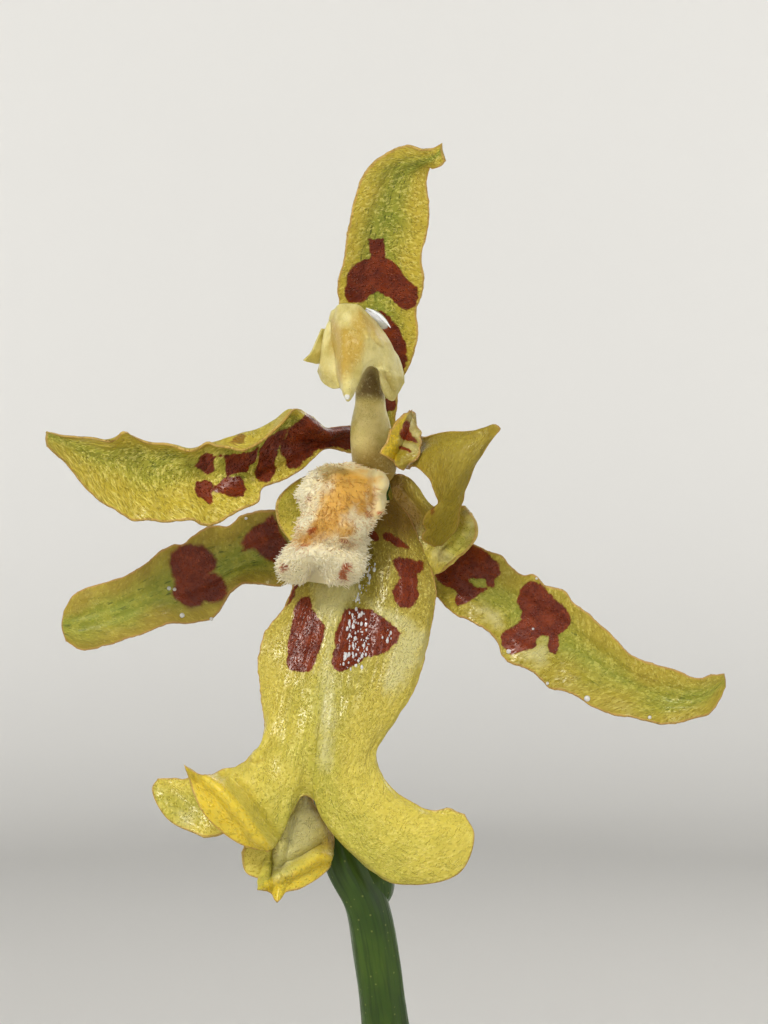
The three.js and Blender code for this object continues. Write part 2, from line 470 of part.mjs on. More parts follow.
// A round stem along a path, with its radii spread evenly from foot to tip
function stem(path, radii, steps, sides, longer = 0) {
  const ends = path.map((p) => p.clone());
  ends[0].addScaledVector(path[0].clone().sub(path[1]).normalize(), longer);
  ends[path.length - 1].addScaledVector(path.at(-1).clone().sub(path.at(-2)).normalize(), longer);
  const line = curve(ends);
  const frames = line.computeFrenetFrames(steps, false);
  const rings = [];
  for (let s = 0; s <= steps; s += 1) {
    const place = (s / steps) * (radii.length - 1);
    const low = Math.min(Math.floor(place), radii.length - 2);
    const radius = mix(radii[low], radii[low + 1], place - low);
    const centre = line.getPointAt(s / steps);
    rings.push(Array.from({ length: sides }, (_, i) => {
      const angle = (2 * Math.PI * i) / sides;
      return centre.clone()
        .addScaledVector(frames.normals[s], radius * Math.cos(angle))
        .addScaledVector(frames.binormals[s], radius * Math.sin(angle));
    }));
  }
  return loft(rings);
}

// Closed bodies that can be joined and cut
function body(geometry) {
  const bare = geometry.clone();
  bare.deleteAttribute('normal');
  bare.deleteAttribute('uv');
  const merged = mergeVertices(bare, 1e-4);
  return new wasm.Manifold(new wasm.Mesh({
    numProp: 3,
    vertProperties: Float32Array.from(merged.attributes.position.array),
    triVerts: Uint32Array.from(merged.index.array),
  }));
}

function shape(solid) {
  const mesh = solid.getMesh();
  const geometry = new THREE.BufferGeometry();
  geometry.setAttribute('position', new THREE.Float32BufferAttribute(mesh.vertProperties, 3));
  geometry.setIndex(Array.from(mesh.triVerts));
  return geometry;
}

const joined = (solids) => solids.reduce((whole, next) => whole.add(next));

// The largest of a body's separate lumps
function mainLump(solid) {
  const lumps = solid.decompose();
  return lumps.reduce((best, next) => (next.volume() > best.volume() ? next : best));
}

// The radius of the pot's inner wall at a height
const insideRadius = (height) => mix(POT_FOOT_RADIUS, POT_TOP_RADIUS, height / POT_HEIGHT) - POT_WALL;

function lathe(profile) {
  const outline = profile.map(([r, z]) => new THREE.Vector2(r, z));
  return new THREE.LatheGeometry(outline, POT_SIDES).rotateX(Math.PI / 2);
}

function buildPot() {
  const rimRadius = POT_TOP_RADIUS + RIM_STEP;
  const bandFoot = POT_HEIGHT - RIM_HEIGHT;
  const bandRadius = mix(POT_FOOT_RADIUS, POT_TOP_RADIUS, bandFoot / POT_HEIGHT);
  const floorEdge = POT_FLOOR + POT_FILLET;
  let pot = body(lathe([
    [0, 0], [POT_FOOT_RADIUS - 1, 0], [POT_FOOT_RADIUS, 1], [bandRadius, bandFoot],
    [bandRadius + RIM_STEP, bandFoot + POT_BEVEL], [rimRadius, POT_HEIGHT - POT_BEVEL],
    [rimRadius - POT_BEVEL, POT_HEIGHT], [insideRadius(POT_HEIGHT) + POT_BEVEL, POT_HEIGHT],
    [insideRadius(POT_HEIGHT), POT_HEIGHT - POT_BEVEL], [insideRadius(floorEdge), floorEdge],
    [insideRadius(POT_FLOOR) - POT_FILLET, POT_FLOOR], [0, POT_FLOOR],
  ]));
  for (let i = 0; i < DRAIN_COUNT; i += 1) {
    const angle = ((i + 0.5) * 2 * Math.PI) / DRAIN_COUNT;
    const hole = new THREE.CylinderGeometry(DRAIN_RADIUS, DRAIN_RADIUS, 3 * POT_FLOOR, 10);
    hole.rotateX(Math.PI / 2).translate(DRAIN_RING * Math.cos(angle), DRAIN_RING * Math.sin(angle), 0);
    pot = pot.subtract(body(hole));
  }
  return pot;
}

// What fits in the pot up to a height, clear of its floor and wall
function potFilling(height, crown) {
  const low = POT_FLOOR + CLEARANCE;
  const edge = low + POT_FILLET;
  return body(lathe([
    [0, low], [insideRadius(low) - POT_FILLET - 2 * CLEARANCE, low], [insideRadius(edge) - CLEARANCE, edge],
    [insideRadius(height) - CLEARANCE, height], [0, height + crown],
  ]));
}

// A bed of bark chips that fills the pot, with a hole round everything that stands or lies in it
function buildMedium(rooted) {
  const draw = makeDraw(11);
  let bed = potFilling(MEDIUM_TOP - 1, 1.4);
  for (let i = 0; i < CHIP_COUNT; i += 1) {
    const radius = (insideRadius(MEDIUM_TOP) - CHIP_EDGE_ROOM) * Math.sqrt((i + 0.5) / CHIP_COUNT);
    const angle = i * GOLDEN_ANGLE;
    const size = CHIP_SIZE.map((side) => side * mix(0.7, 1.3, draw()));
    const chip = new THREE.BoxGeometry(...size)
      .rotateX(CHIP_TILT * (draw() - 0.5))
      .rotateY(CHIP_TILT * (draw() - 0.5))
      .rotateZ(Math.PI * draw())
      .translate(radius * Math.cos(angle), radius * Math.sin(angle), MEDIUM_TOP + mix(...CHIP_RISE, draw()));
    bed = bed.add(body(chip));
  }
  bed = bed.intersect(potFilling(POT_HEIGHT, 0));
  return mainLump(rooted.reduce((rest, solid) => rest.subtract(solid), bed));
}

// A point round a pseudobulb: how far across and through it, turned and leaning with it
function roundBulb({ x, y, height, turn, lean }, across, through, rise, foot) {
  return new THREE.Vector3(
    x + across * Math.cos(turn) - through * Math.sin(turn) + lean[0] * rise * height,
    y + across * Math.sin(turn) + through * Math.cos(turn) + lean[1] * rise * height,
    foot + rise * height,
  );
}

// A ribbed, flattened pseudobulb, grown on all sides where it makes its own hole in the bark
function buildBulb(bulb, grow) {
  const rings = BULB_PROFILE.map(([share, girth]) => Array.from({ length: BULB_SIDES }, (_, i) => {
    const angle = (2 * Math.PI * i) / BULB_SIDES;
    const rib = 1 + RIB_DEPTH * Math.cos(BULB_RIBS * angle) * Math.sin(Math.PI * share);
    const across = (bulb.wide * girth * rib + grow) * Math.cos(angle);
    const through = (bulb.deep * girth * rib + grow) * Math.sin(angle);
    return roundBulb(bulb, across, through, share, BULB_FOOT + (share > 0.5 ? grow : -grow));
  }));
  return body(loft(rings));
}

// A leaf folded along its keel, widest past the middle, drawn out to a point
function buildLeaf({ path, wide, fold }) {
  const keel = curve(path.map(point));
  const side = new THREE.Vector3(path.at(-1)[1] - path[0][1], path[0][0] - path.at(-1)[0], 0).normalize();
  const places = [-1, -0.5, 0, 0.5, 1];
  const lines = places.map(() => []);
  for (let s = 0; s <= LEAF_ROWS; s += 1) {
    const share = s / LEAF_ROWS;
    const up = new THREE.Vector3().crossVectors(side, keel.getTangentAt(share)).normalize();
    const swell = 0.22 + 0.78 * Math.sin(Math.PI * (0.1 + 0.62 * share)) ** 1.4;
    const point = Math.min(1, ((1.013 - share) * 3.2) ** 0.75);
    const half = wide * swell * point;
    const angle = mix(fold[0], fold[1], Math.min(1, share * 1.8));
    places.forEach((place, i) => {
      lines[i].push(keel.getPointAt(share)
        .addScaledVector(side, place * half * Math.cos(angle))
        .addScaledVector(up, Math.abs(place) * half * Math.sin(angle)));
    });
  }
  return body(sheet(lines, LEAF_ROWS, LEAF_COLUMNS, LEAF_THICKNESS));
}

// A dry sheath that wraps one side of a pseudobulb, highest in its middle
function buildSheath({ bulb, facing, share }) {
  const wrapped = BULBS[bulb];
  const lines = [-1, -0.6, -0.2, 0.2, 0.6, 1].map((place) => {
    const angle = facing + place * SHEATH_REACH;
    const points = [];
    for (let s = 0; s <= SHEATH_ROWS; s += 1) {
      const rise = (s / SHEATH_ROWS) * share * (1 - 0.3 * place * place);
      const girth = 0.8 + 0.28 * Math.min(1, rise / 0.26) - 0.3 * Math.max(0, rise - 0.42);
      const across = (wrapped.wide * girth + SHEATH_STANDOFF) * Math.cos(angle);
      const through = (wrapped.deep * girth + SHEATH_STANDOFF) * Math.sin(angle);
      points.push(roundBulb(wrapped, across, through, rise, SHEATH_FOOT));
    }
    return points;
  });
  return body(sheet(lines, SHEATH_ROWS, SHEATH_COLUMNS, BLADE_THICKNESS));
}

const SPIKE_LINE = curve(SPIKE_PATH.map(point));

function buildSpike(grow) {
  return body(stem(SPIKE_PATH.map(point), SPIKE_RADII.map((radius) => radius + grow), SPIKE_STEPS, 8, grow));
}

// A bract that clasps the spike at a node
function buildBract({ at, length, wide }) {
  const foot = SPIKE_LINE.getPointAt(at);
  const along = SPIKE_LINE.getTangentAt(at);
  const side = new THREE.Vector3().crossVectors(along, new THREE.Vector3(0, -1, 0)).normalize();
  const inward = new THREE.Vector3().crossVectors(along, side).normalize();
  const standoff = SPIKE_RADII[0] + CLEARANCE + BLADE_THICKNESS / 2;
  const lines = [-1, -0.5, 0, 0.5, 1].map((place) => {
    const points = [];
    for (let s = 0; s <= BRACT_ROWS; s += 1) {
      const share = s / BRACT_ROWS;
      const half = wide * Math.sqrt(1.06 - share);
      const lift = standoff + 0.9 * share * share - 0.45 * place * place * half;
      points.push(foot.clone()
        .addScaledVector(along, share * length)
        .addScaledVector(side, place * half)
        .addScaledVector(inward, lift));
    }
    return points;
  });
  return body(sheet(lines, BRACT_ROWS, BRACT_ROWS, BLADE_THICKNESS));
}

function buildRoots(grow) {
  const rhizomeRadii = [RHIZOME_RADIUS + grow, RHIZOME_RADIUS + grow];
  const rootRadii = ROOT_RADII.map((radius) => radius + grow);
  const roots = ROOTS.map((path) => body(stem(path.map(point), rootRadii, 10, 6, grow)));
  return joined([body(stem(RHIZOME_PATH.map(point), rhizomeRadii, 8, 8, grow)), ...roots]);
}

// Bloom
function buildColumnShaft(grow) {
  const radii = COLUMN_RADII.map((radius) => radius + grow);
  return body(stem(COLUMN_AXIS[0].map(sight), radii, 10, 10, grow));
}

function buildColumn() {
  const hood = body(bloomSheet(HOOD, 6, 10, HOOD_THICKNESS));
  const wing = body(bloomSheet(WING, 3, 3, WING_THICKNESS));
  return joined([buildColumnShaft(0), hood, wing]);
}

function buildLip(thickness) {
  return joined([
    bloomSheet(LIP_BLADE, 12, 16, thickness),
    bloomSheet(LIP_BACK_LOBE, 6, 5, thickness),
    bloomSheet(LIP_RIGHT_LOBE, 5, 5, thickness),
    bloomSheet(LIP_LEFT_LOBE, 4, 4, thickness),
    bloomSheet(LIP_FOLD, 5, 8, thickness),
  ].map(body));
}

// The callus row at a share of the way from its top to its foot
function callusRow(share) {
  const place = share * (CALLUS_ROWS.length - 1.001);
  const row = Math.floor(place);
  return CALLUS_ROWS[row].map((value, k) => mix(value, CALLUS_ROWS[row + 1][k], place - row));
}

// A point of the callus at an angle round a row: 0 at its right edge, a quarter turn on at its front
function callusPoint([up, left, right, front], angle, bulge) {
  const across = mix(left, right, 0.5 + 0.5 * Math.cos(angle) * bulge);
  const depth = mix(CALLUS_BACK, front, 0.5 + 0.5 * Math.sin(angle) * bulge);
  return sight([across, up, depth]);
}

// The hairy cushion: lumpy rows, with small papillae that stand out of its front and sides
function buildCallus() {
  const rings = CALLUS_ROWS.map((row) => Array.from({ length: CALLUS_SIDES }, (_, i) => {
    const angle = (2 * Math.PI * (i + 0.5)) / CALLUS_SIDES;
    return callusPoint(row, angle, 1 + 0.06 * Math.cos(3 * angle + 4 * row[0]));
  }));
  const draw = makeDraw(5);
  let callus = body(loft(rings));
  for (let i = 0; i < PAPILLA_COUNT; i += 1) {
    const share = (i + 0.5) / PAPILLA_COUNT;
    const angle = Math.PI * mix(0.02, 0.98, draw());
    const rise = 0.5 * (draw() - 0.5) - 0.6 * (share - 0.4);
    const out = new THREE.Vector3(1.6 * Math.cos(angle), -2 * Math.sin(angle), rise).normalize();
    const root = callusPoint(callusRow(share), angle, 1).addScaledVector(out, PAPILLA_LENGTH / 6);
    const papilla = new THREE.ConeGeometry(PAPILLA_RADIUS, PAPILLA_LENGTH, 3);
    papilla.applyQuaternion(new THREE.Quaternion().setFromUnitVectors(new THREE.Vector3(0, 1, 0), out));
    callus = callus.add(body(papilla.translate(root.x, root.y, root.z)));
  }
  return callus;
}

const potted = new THREE.Group();

function place(name, solid, color, roughness, metalness = 0) {
  const material = new THREE.MeshStandardMaterial({ color, roughness, metalness });
  const mesh = new THREE.Mesh(shape(solid), material);
  mesh.name = name;
  potted.add(mesh);
}

const TERRACOTTA = 0xb5653f;
const BARK = 0x5b3a25;
const ROOT = 0xb9b79a;
const BULB = 0x6f9a3c;
const LEAF = 0x4c8a2c;
const DRY_SHEATH = 0xb79f6c;
const STALK = 0x5f7f2a;
const TEPAL = 0xb2ad38;
const LIP = 0xd8c84e;
const CALLUS = 0xe2cf9c;
const COLUMN = 0xd6cf8a;

place('pot', buildPot(), TERRACOTTA, 0.85);

const rooted = [
  ...BULBS.map((bulb) => buildBulb(bulb, CLEARANCE)),
  buildRoots(CLEARANCE),
  buildSpike(CLEARANCE),
];
place('bark_medium', buildMedium(rooted), BARK, 0.95);
place('rhizome_and_roots', buildRoots(0), ROOT, 0.8);
BULBS.forEach((bulb) => place(bulb.name, buildBulb(bulb, 0), BULB, 0.45));
LEAVES.forEach((leaf) => place(leaf.name, buildLeaf(leaf), LEAF, 0.4));
SHEATHS.forEach((sheath) => place(sheath.name, buildSheath(sheath), DRY_SHEATH, 0.8));
place('spike', buildSpike(0), STALK, 0.5);
BRACTS.forEach((bract) => place(bract.name, buildBract(bract), DRY_SHEATH, 0.8));
place('pedicel', body(stem(PEDICEL_AXIS[0].map(sight), PEDICEL_RADII, 22, 10)), STALK, 0.45);

place('dorsal_sepal', body(bloomSheet(DORSAL_SEPAL, 18, 4)), TEPAL, 0.5);
place('petal_left', body(bloomSheet(LEFT_PETAL, 22, 4)), TEPAL, 0.5);
const rightPetal = [bloomSheet(RIGHT_PETAL, 14, 5), bloomSheet(RIGHT_PETAL_FLAP, 4, 4)];
place('petal_right', joined(rightPetal.map(body)), TEPAL, 0.5);
place('lateral_sepal_left', body(bloomSheet(LEFT_LATERAL_SEPAL, 18, 4)), TEPAL, 0.5);
place('lateral_sepal_right', body(bloomSheet(RIGHT_LATERAL_SEPAL, 20, 4)), TEPAL, 0.5);
place('column', buildColumn(), COLUMN, 0.45);

// The lip clears the column, and the callus lies on the lip before the column
const columnRoom = buildColumnShaft(CLEARANCE);
const lipRoom = buildLip(BLADE_THICKNESS + 2 * CLEARANCE);
place('lip', mainLump(buildLip(BLADE_THICKNESS).subtract(columnRoom)), LIP, 0.45);
place('lip_callus', mainLump(buildCallus().subtract(lipRoom).subtract(columnRoom)), CALLUS, 0.7);

export default potted;
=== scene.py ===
import itertools
import math

import bpy
import numpy as np
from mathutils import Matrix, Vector


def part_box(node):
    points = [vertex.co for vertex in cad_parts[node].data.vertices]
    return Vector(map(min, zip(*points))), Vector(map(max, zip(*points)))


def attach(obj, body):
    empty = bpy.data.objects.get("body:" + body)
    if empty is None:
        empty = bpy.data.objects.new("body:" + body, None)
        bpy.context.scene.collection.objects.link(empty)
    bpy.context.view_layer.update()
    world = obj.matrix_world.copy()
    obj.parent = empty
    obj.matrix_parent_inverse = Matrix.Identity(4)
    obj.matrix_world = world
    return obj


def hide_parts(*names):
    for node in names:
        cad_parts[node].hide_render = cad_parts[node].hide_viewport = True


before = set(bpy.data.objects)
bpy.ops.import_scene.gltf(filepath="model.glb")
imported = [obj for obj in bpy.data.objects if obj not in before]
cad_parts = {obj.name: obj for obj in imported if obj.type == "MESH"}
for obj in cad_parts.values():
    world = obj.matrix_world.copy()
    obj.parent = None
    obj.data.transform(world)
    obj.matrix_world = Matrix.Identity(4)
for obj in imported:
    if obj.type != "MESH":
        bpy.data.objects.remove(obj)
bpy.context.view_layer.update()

bl_info = {
    "name": "Potted oncidium",
    "version": (1, 0, 0),
    "blender": (4, 5, 0),
    "location": "View3D > Sidebar > Orchid",
    "description": "Dresses the solids of a potted oncidium with fine meshes and node materials",
    "category": "Add Mesh",
}

# Shapes are worked out in millimetres, +Z up, and turned into metres when they become a mesh
MM = 0.001
TURN = 2 * math.pi

# The kinds of marking on the bloom, some of them painted shade or light, and the value of a point far outside
# one
MARK_KINDS = ("spot", "pale", "amber", "wet", "cavity", "yellow", "orange", "rust", "grey", "bare")
FAR_OUT = -2.0

# The middle of the bloom's view and the distance it is seen from. Depths are + behind it, - before it.
BLOOM_CENTRE = np.array([0.0, -26.0, 116.0])
VIEW_DISTANCE = 250.0
VIEW_HEIGHT = 36.86


def tone(red, green, blue):
    """A linear colour from one in the usual 0 to 255 steps."""
    steps = (red / 255, green / 255, blue / 255)
    return tuple(s / 12.92 if s <= 0.04045 else ((s + 0.055) / 1.055) ** 2.4 for s in steps)


# Curves, sheets and stems


def unit(vectors):
    """Vectors at length one."""
    length = np.linalg.norm(vectors, axis=-1, keepdims=True)
    return vectors / np.maximum(length, 1e-9)


def smooth(values, low, high):
    """Values from 0 at low to 1 at high, eased at both ends."""
    share = np.clip((values - low) / (high - low), 0, 1)
    return share * share * (3 - 2 * share)


def spline(knots, places):
    """Points at places from 0 to 1 of centripetal Catmull-Rom curves; the knots run along the first axis."""
    knots = np.asarray(knots, float)
    padded = np.concatenate([[2 * knots[0] - knots[1]], knots, [2 * knots[-1] - knots[-2]]])
    gaps = np.linalg.norm(np.diff(padded, axis=0), axis=-1, keepdims=True)
    steps = np.sqrt(np.maximum(gaps, 1e-6))
    spots = np.clip(places, 0, 1) * (len(knots) - 1)
    low = np.minimum(spots.astype(int), len(knots) - 2)
    share = (spots - low).reshape(-1, *[1] * (knots.ndim - 1))
    before, start, end, after = (padded[low + i] for i in range(4))
    first, middle, last = (steps[low + i] for i in range(3))
    leave = (start - before) / first - (end - before) / (first + middle) + (end - start) / middle
    arrive = (end - start) / middle - (after - start) / (middle + last) + (after - end) / last
    leave, arrive = leave * middle, arrive * middle
    cubic = 2 * start - 2 * end + leave + arrive
    square = 3 * end - 3 * start - 2 * leave - arrive
    return start + share * (leave + share * (square + share * cubic))


def run(points):
    """How far along a line of points each one lies."""
    gaps = np.linalg.norm(np.diff(points, axis=0), axis=-1)
    return np.concatenate([np.zeros((1, *gaps.shape[1:])), np.cumsum(gaps, axis=0)])


def evenly(line, count):
    """count + 1 points at even distances along the curve through a line's points."""
    fine = np.linspace(0, 1, 60 * len(line))
    far = run(spline(line, fine))
    return spline(line, np.interp(np.linspace(0, far[-1], count + 1), far, fine))


def sight(points):
    """Where across, up and depth in the bloom's view lie; depth slides a point along its sight line."""
    across, up, depth = np.asarray(points, float).T
    spread = 1 + depth / VIEW_DISTANCE
    return np.stack([across * spread, depth, up * spread], axis=-1) + BLOOM_CENTRE


def in_view(points):
    """Where points of the bloom lie in its view, across and up."""
    depth = points[..., 1] - BLOOM_CENTRE[1]
    spread = 1 + depth / VIEW_DISTANCE
    return np.stack([points[..., 0] / spread, (points[..., 2] - BLOOM_CENTRE[2]) / spread], axis=-1)


def rumple(points, size, seed=0):
    """Smooth random values from -1 to 1 at points, with bumps of a size in millimetres."""
    table = np.random.default_rng(seed).uniform(-1, 1, 4096)
    cells = np.asarray(points, float) / size
    low = np.floor(cells).astype(np.int64)
    share = cells - low
    share = share * share * (3 - 2 * share)
    total = np.zeros(cells.shape[:-1])
    for corner in itertools.product((0, 1), repeat=3):
        keys = (low + corner) * (73856093, 19349663, 83492791)
        place = (keys[..., 0] ^ keys[..., 1] ^ keys[..., 2]) % 4096
        total += table[place] * np.prod(np.where(corner, share, 1 - share), axis=-1)
    return total


def line_gap(line, places):
    """How far places of the view lie from a line."""
    start, side = np.array(line[:-1], float), np.diff(np.array(line, float), axis=0)
    reach = places[:, None] - start
    share = np.clip((reach * side).sum(-1) / (side * side).sum(-1), 0, 1)
    return np.linalg.norm(reach - share[..., None] * side, axis=-1).min(axis=1)


def folded(points, folds):
    """Points moved towards the viewer along the lines of some folds, or away where a height is below 0."""
    places = in_view(points).reshape(-1, 2)
    rise = np.zeros(len(places))
    for line, height, width in folds:
        rise += height * np.exp(-((line_gap(line, places) / width) ** 2))
    return points - np.reshape(rise, points.shape[:-1])[..., None] * (0, 1, 0)


def inside_by(outline, places):
    """How far places of the view lie inside an outline, below 0 outside it."""
    start = np.array(outline, float)
    side = np.roll(start, -1, axis=0) - start
    reach = places[:, None] - start
    gap = line_gap([*outline, outline[0]], places)
    end = start + side
    spans = (start[:, 1] > places[:, None, 1]) != (end[:, 1] > places[:, None, 1])
    rise = np.where(side[:, 1] == 0, 1, side[:, 1])
    crossing = spans & (reach[..., 0] < side[:, 0] * reach[..., 1] / rise)
    return np.where(crossing.sum(axis=1) % 2 == 1, gap, -gap)


def marked(points, marks):
    """How far points of the bloom lie inside the outlines of each of its markings."""
    places = in_view(points).reshape(-1, 2)
    far = {kind: np.max([inside_by(o, places) for o in outlines], axis=0) for kind, outlines in marks.items()}
    return {kind: np.clip(values, FAR_OUT, -FAR_OUT).reshape(points.shape[:-1])
            for kind, values in far.items()}


class Shape:
    """Points in millimetres, the faces between them and named values at them, gathered for one piece."""

    def __init__(self):
        self.points, self.faces, self.values, self.count = [], [], [], 0

    def add(self, points, faces, **values):
        points = np.asarray(points, float).reshape(-1, 3)
        self.points.append(points)
        self.faces += [np.asarray(face) + self.count for face in faces]
        self.values.append((len(points), values))
        self.count += len(points)
        return self

    def placed(self, name, material, nodes=(), slot=None):
        """Makes the piece, stands it for CAD nodes and lets it ride on the only body."""
        name = f"fine_{name}"
        mesh = bpy.data.meshes.new(name)
        points = np.concatenate(self.points) * MM
        mesh.vertices.add(len(points))
        mesh.vertices.foreach_set("co", points.astype(np.float32).ravel())
        sizes = np.concatenate([np.full(len(f), f.shape[1]) for f in self.faces])
        loops = np.concatenate([f.ravel() for f in self.faces])
        mesh.loops.add(len(loops))
        mesh.loops.foreach_set("vertex_index", loops.astype(np.int32))
        mesh.polygons.add(len(sizes))
        mesh.polygons.foreach_set("loop_start", (np.cumsum(sizes) - sizes).astype(np.int32))
        mesh.update(calc_edges=True)
        mesh.validate()
        self.write_values(mesh)
        mesh.shade_smooth()
        piece = bpy.data.objects.new(name, mesh)
        bpy.context.scene.collection.objects.link(piece)
        mesh.materials.append(material)
        if nodes:
            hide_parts(*nodes)
        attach(piece, "root")
        return piece

    def write_values(self, mesh):
        names = sorted({key for _, values in self.values for key in values})
        for key in names:
            wide = any(np.ndim(v[key]) and np.shape(v[key])[-1] == 3 and np.size(v[key]) == 3 * n
                       for n, v in self.values if key in v)
            shape = (self.count, 3) if wide else (self.count,)
            whole = np.full(shape, FAR_OUT if key in MARK_KINDS else 0, np.float32)
            at = 0
            for count, values in self.values:
                if key in values:
                    given = np.asarray(values[key], np.float32)
                    here = whole[at:at + count]
                    here[:] = given if given.ndim == 0 else given.reshape(here.shape)
                at += count
            kind, field = ("FLOAT_VECTOR", "vector") if wide else ("FLOAT", "value")
            mesh.attributes.new(key, kind, "POINT").data.foreach_set(field, whole.ravel())


def grid_faces(rows, columns, closed=False):
    """The four-sided faces of a grid of points; a closed grid runs round to its first column."""
    r, c = np.meshgrid(np.arange(rows - 1), np.arange(columns if closed else columns - 1), indexing="ij")
    right = (c + 1) % columns
    low, high = r * columns, (r + 1) * columns
    faces = np.stack([low + c, low + right, high + right, high + c], -1)
    return faces.reshape(-1, 4)


def turned_out(points, faces):
    """Faces that all look outwards, from ones that all look one way."""
    flat = np.asarray(points).reshape(-1, 3)
    volume = 0.0
    for face in faces:
        for i in range(1, face.shape[1] - 1):
            a, b, c = flat[face[:, 0]], flat[face[:, i]], flat[face[:, i + 1]]
            volume += np.einsum("ij,ij->i", a, np.cross(b, c)).sum()
    return faces if volume > 0 else [face[:, ::-1] for face in faces]


def normals_of(grid):
    """The upward direction at each point of a grid, evened over its neighbours."""
    normal = unit(np.cross(np.gradient(grid, axis=0), np.gradient(grid, axis=1)))
    for _ in range(3):
        padded = np.pad(normal, ((1, 1), (1, 1), (0, 0)), mode="edge")
        shifts = [padded[i:i + grid.shape[0], j:j + grid.shape[1]] for i in range(3) for j in range(3)]
        normal = unit(np.sum(shifts, axis=0))
    return normal


def sheet_grid(lines, rows, columns):
    """A grid of points over lines that run from foot to tip."""
    spaced = np.stack([evenly(line, rows) for line in lines])
    return spline(spaced, np.linspace(0, 1, columns + 1)).transpose(1, 0, 2)


def rim_distance(grid, foot_is_rim=False):
    """How far each point of a grid lies from the sheet's rim, and how far across and along."""
    across, along = run(grid.transpose(1, 0, 2)).T, run(grid)
    rim = np.minimum(np.minimum(across, across[:, -1:] - across), along[-1:] - along)
    return (np.minimum(rim, along) if foot_is_rim else rim), across, along


def add_sheet(shape, grid, thick, fray=0.03, relief=None, marks=None, foot_is_rim=False, seed=1,
              rim_share=0.4, ruffle=0.0, front=(0, -1, 0)):
    """Adds a closed blade over a grid: thin, ragged at its ruffled rim, with a relief on both faces."""
    rows, columns = grid.shape[:2]
    rim, across, along = rim_distance(grid, foot_is_rim)
    out = unit(np.gradient(grid, axis=1)) * np.where(across < across[:, -1:] / 2, -1, 1)[..., None]
    near = np.exp(-((np.minimum(across, across[:, -1:] - across) / 0.35) ** 2))
    ragged = rumple(grid, 0.3, seed) + 0.6 * rumple(grid, 0.13, seed + 1)
    grid = grid + out * (fray * near * ragged)[..., None]
    normal = normals_of(grid)
    place = np.linspace(-1, 1, columns)[None] + 0 * along
    lift = ruffle * np.exp(-rim / 0.7) * (rumple(grid, 1.1, seed + 2) + 0.5 * rumple(grid, 0.5, seed + 3))
    if relief is not None:
        lift = lift + relief(place, along, rim)
    grid = grid + normal * (lift * smooth(along, 0, 0.8))[..., None]
    half = thick / 2 * (rim_share + (1 - rim_share) * smooth(rim, 0, 0.5))
    top, bottom = grid + normal * half[..., None], grid - normal * half[..., None]
    size = rows * columns
    face = grid_faces(rows, columns)
    index = np.arange(size).reshape(rows, columns)
    border = np.concatenate([index[0], index[1:, -1], index[-1, -2::-1], index[-2:0:-1, 0]])
    after = np.roll(border, -1)
    wall = np.stack([border, border + size, after + size, after], -1)
    faces = turned_out(np.stack([top, bottom]), [face, face[:, ::-1] + size, wall])
    pattern = np.stack([place * across[:, -1].mean() / 2, seed + 0 * along, along], -1)
    values = {"rim": rim, "grain": pattern, "heart": 1 - np.abs(place), "up_it": along / along[-1:]}
    values |= marked(grid, marks) if marks else {}
    both = {key: np.concatenate([v.reshape(size, -1)] * 2) for key, v in values.items()}
    top_is_face = np.dot(normal.reshape(-1, 3).mean(axis=0), front) > 0
    reverse = np.repeat([0.0, 1.0] if top_is_face else [1.0, 0.0], size)
    shape.add(np.stack([top, bottom]), faces, reverse=reverse, **both)
    return top, bottom


def frames_along(centre):
    """The direction of a path at each point, and two across it that turn with it as little as they can."""
    ahead = unit(np.gradient(centre, axis=0))
    side = np.cross(ahead[0], (0.0, 0.3, 1.0) if abs(ahead[0][2]) < 0.9 else (1.0, 0.2, 0.0))
    sides = []
    for direction in ahead:
        side = unit(side - direction * side.dot(direction))
        sides.append(side)
    sides = np.array(sides)
    return ahead, sides, np.cross(ahead, sides)


def add_stem(shape, path, radii, steps, sides, relief=None, ends=(True, True), **values):
    """Adds a round stem along a path, with rounded ends where asked for."""
    centre = evenly(path, steps)
    along = run(centre)
    radius = np.interp(np.linspace(0, 1, steps + 1), np.linspace(0, 1, len(radii)), radii)
    reach = np.minimum(along, along[-1] - along)
    dome = np.ones(steps + 1)
    for end, far in zip(ends, (along, along[-1] - along)):
        if end:
            dome = np.minimum(dome, np.sqrt(np.clip(1 - (1 - np.minimum(far / radius, 1)) ** 2, 0.0009, 1)))
    ahead, side, over = frames_along(centre)
    angle = np.arange(sides) / sides * TURN
    girth = (radius * dome)[:, None] * np.ones((1, sides))
    if relief is not None:
        girth = girth * relief(angle[None, :], along[:, None])
    ring = np.cos(angle)[None, :, None] * side[:, None] + np.sin(angle)[None, :, None] * over[:, None]
    points = centre[:, None] + girth[..., None] * ring
    caps = [np.arange(sides)[None, ::-1], np.arange(sides)[None] + steps * sides]
    faces = turned_out(points, [grid_faces(steps + 1, sides, closed=True), *caps])
    wide = radius[:, None] * np.ones((1, sides))
    pattern = np.stack([np.cos(angle) * wide, np.sin(angle) * wide, along[:, None] * np.ones((1, sides))], -1)
    shares = np.repeat(along / along[-1], sides)
    shape.add(points, faces, grain=pattern, up_it=shares, **values)
    return points, reach


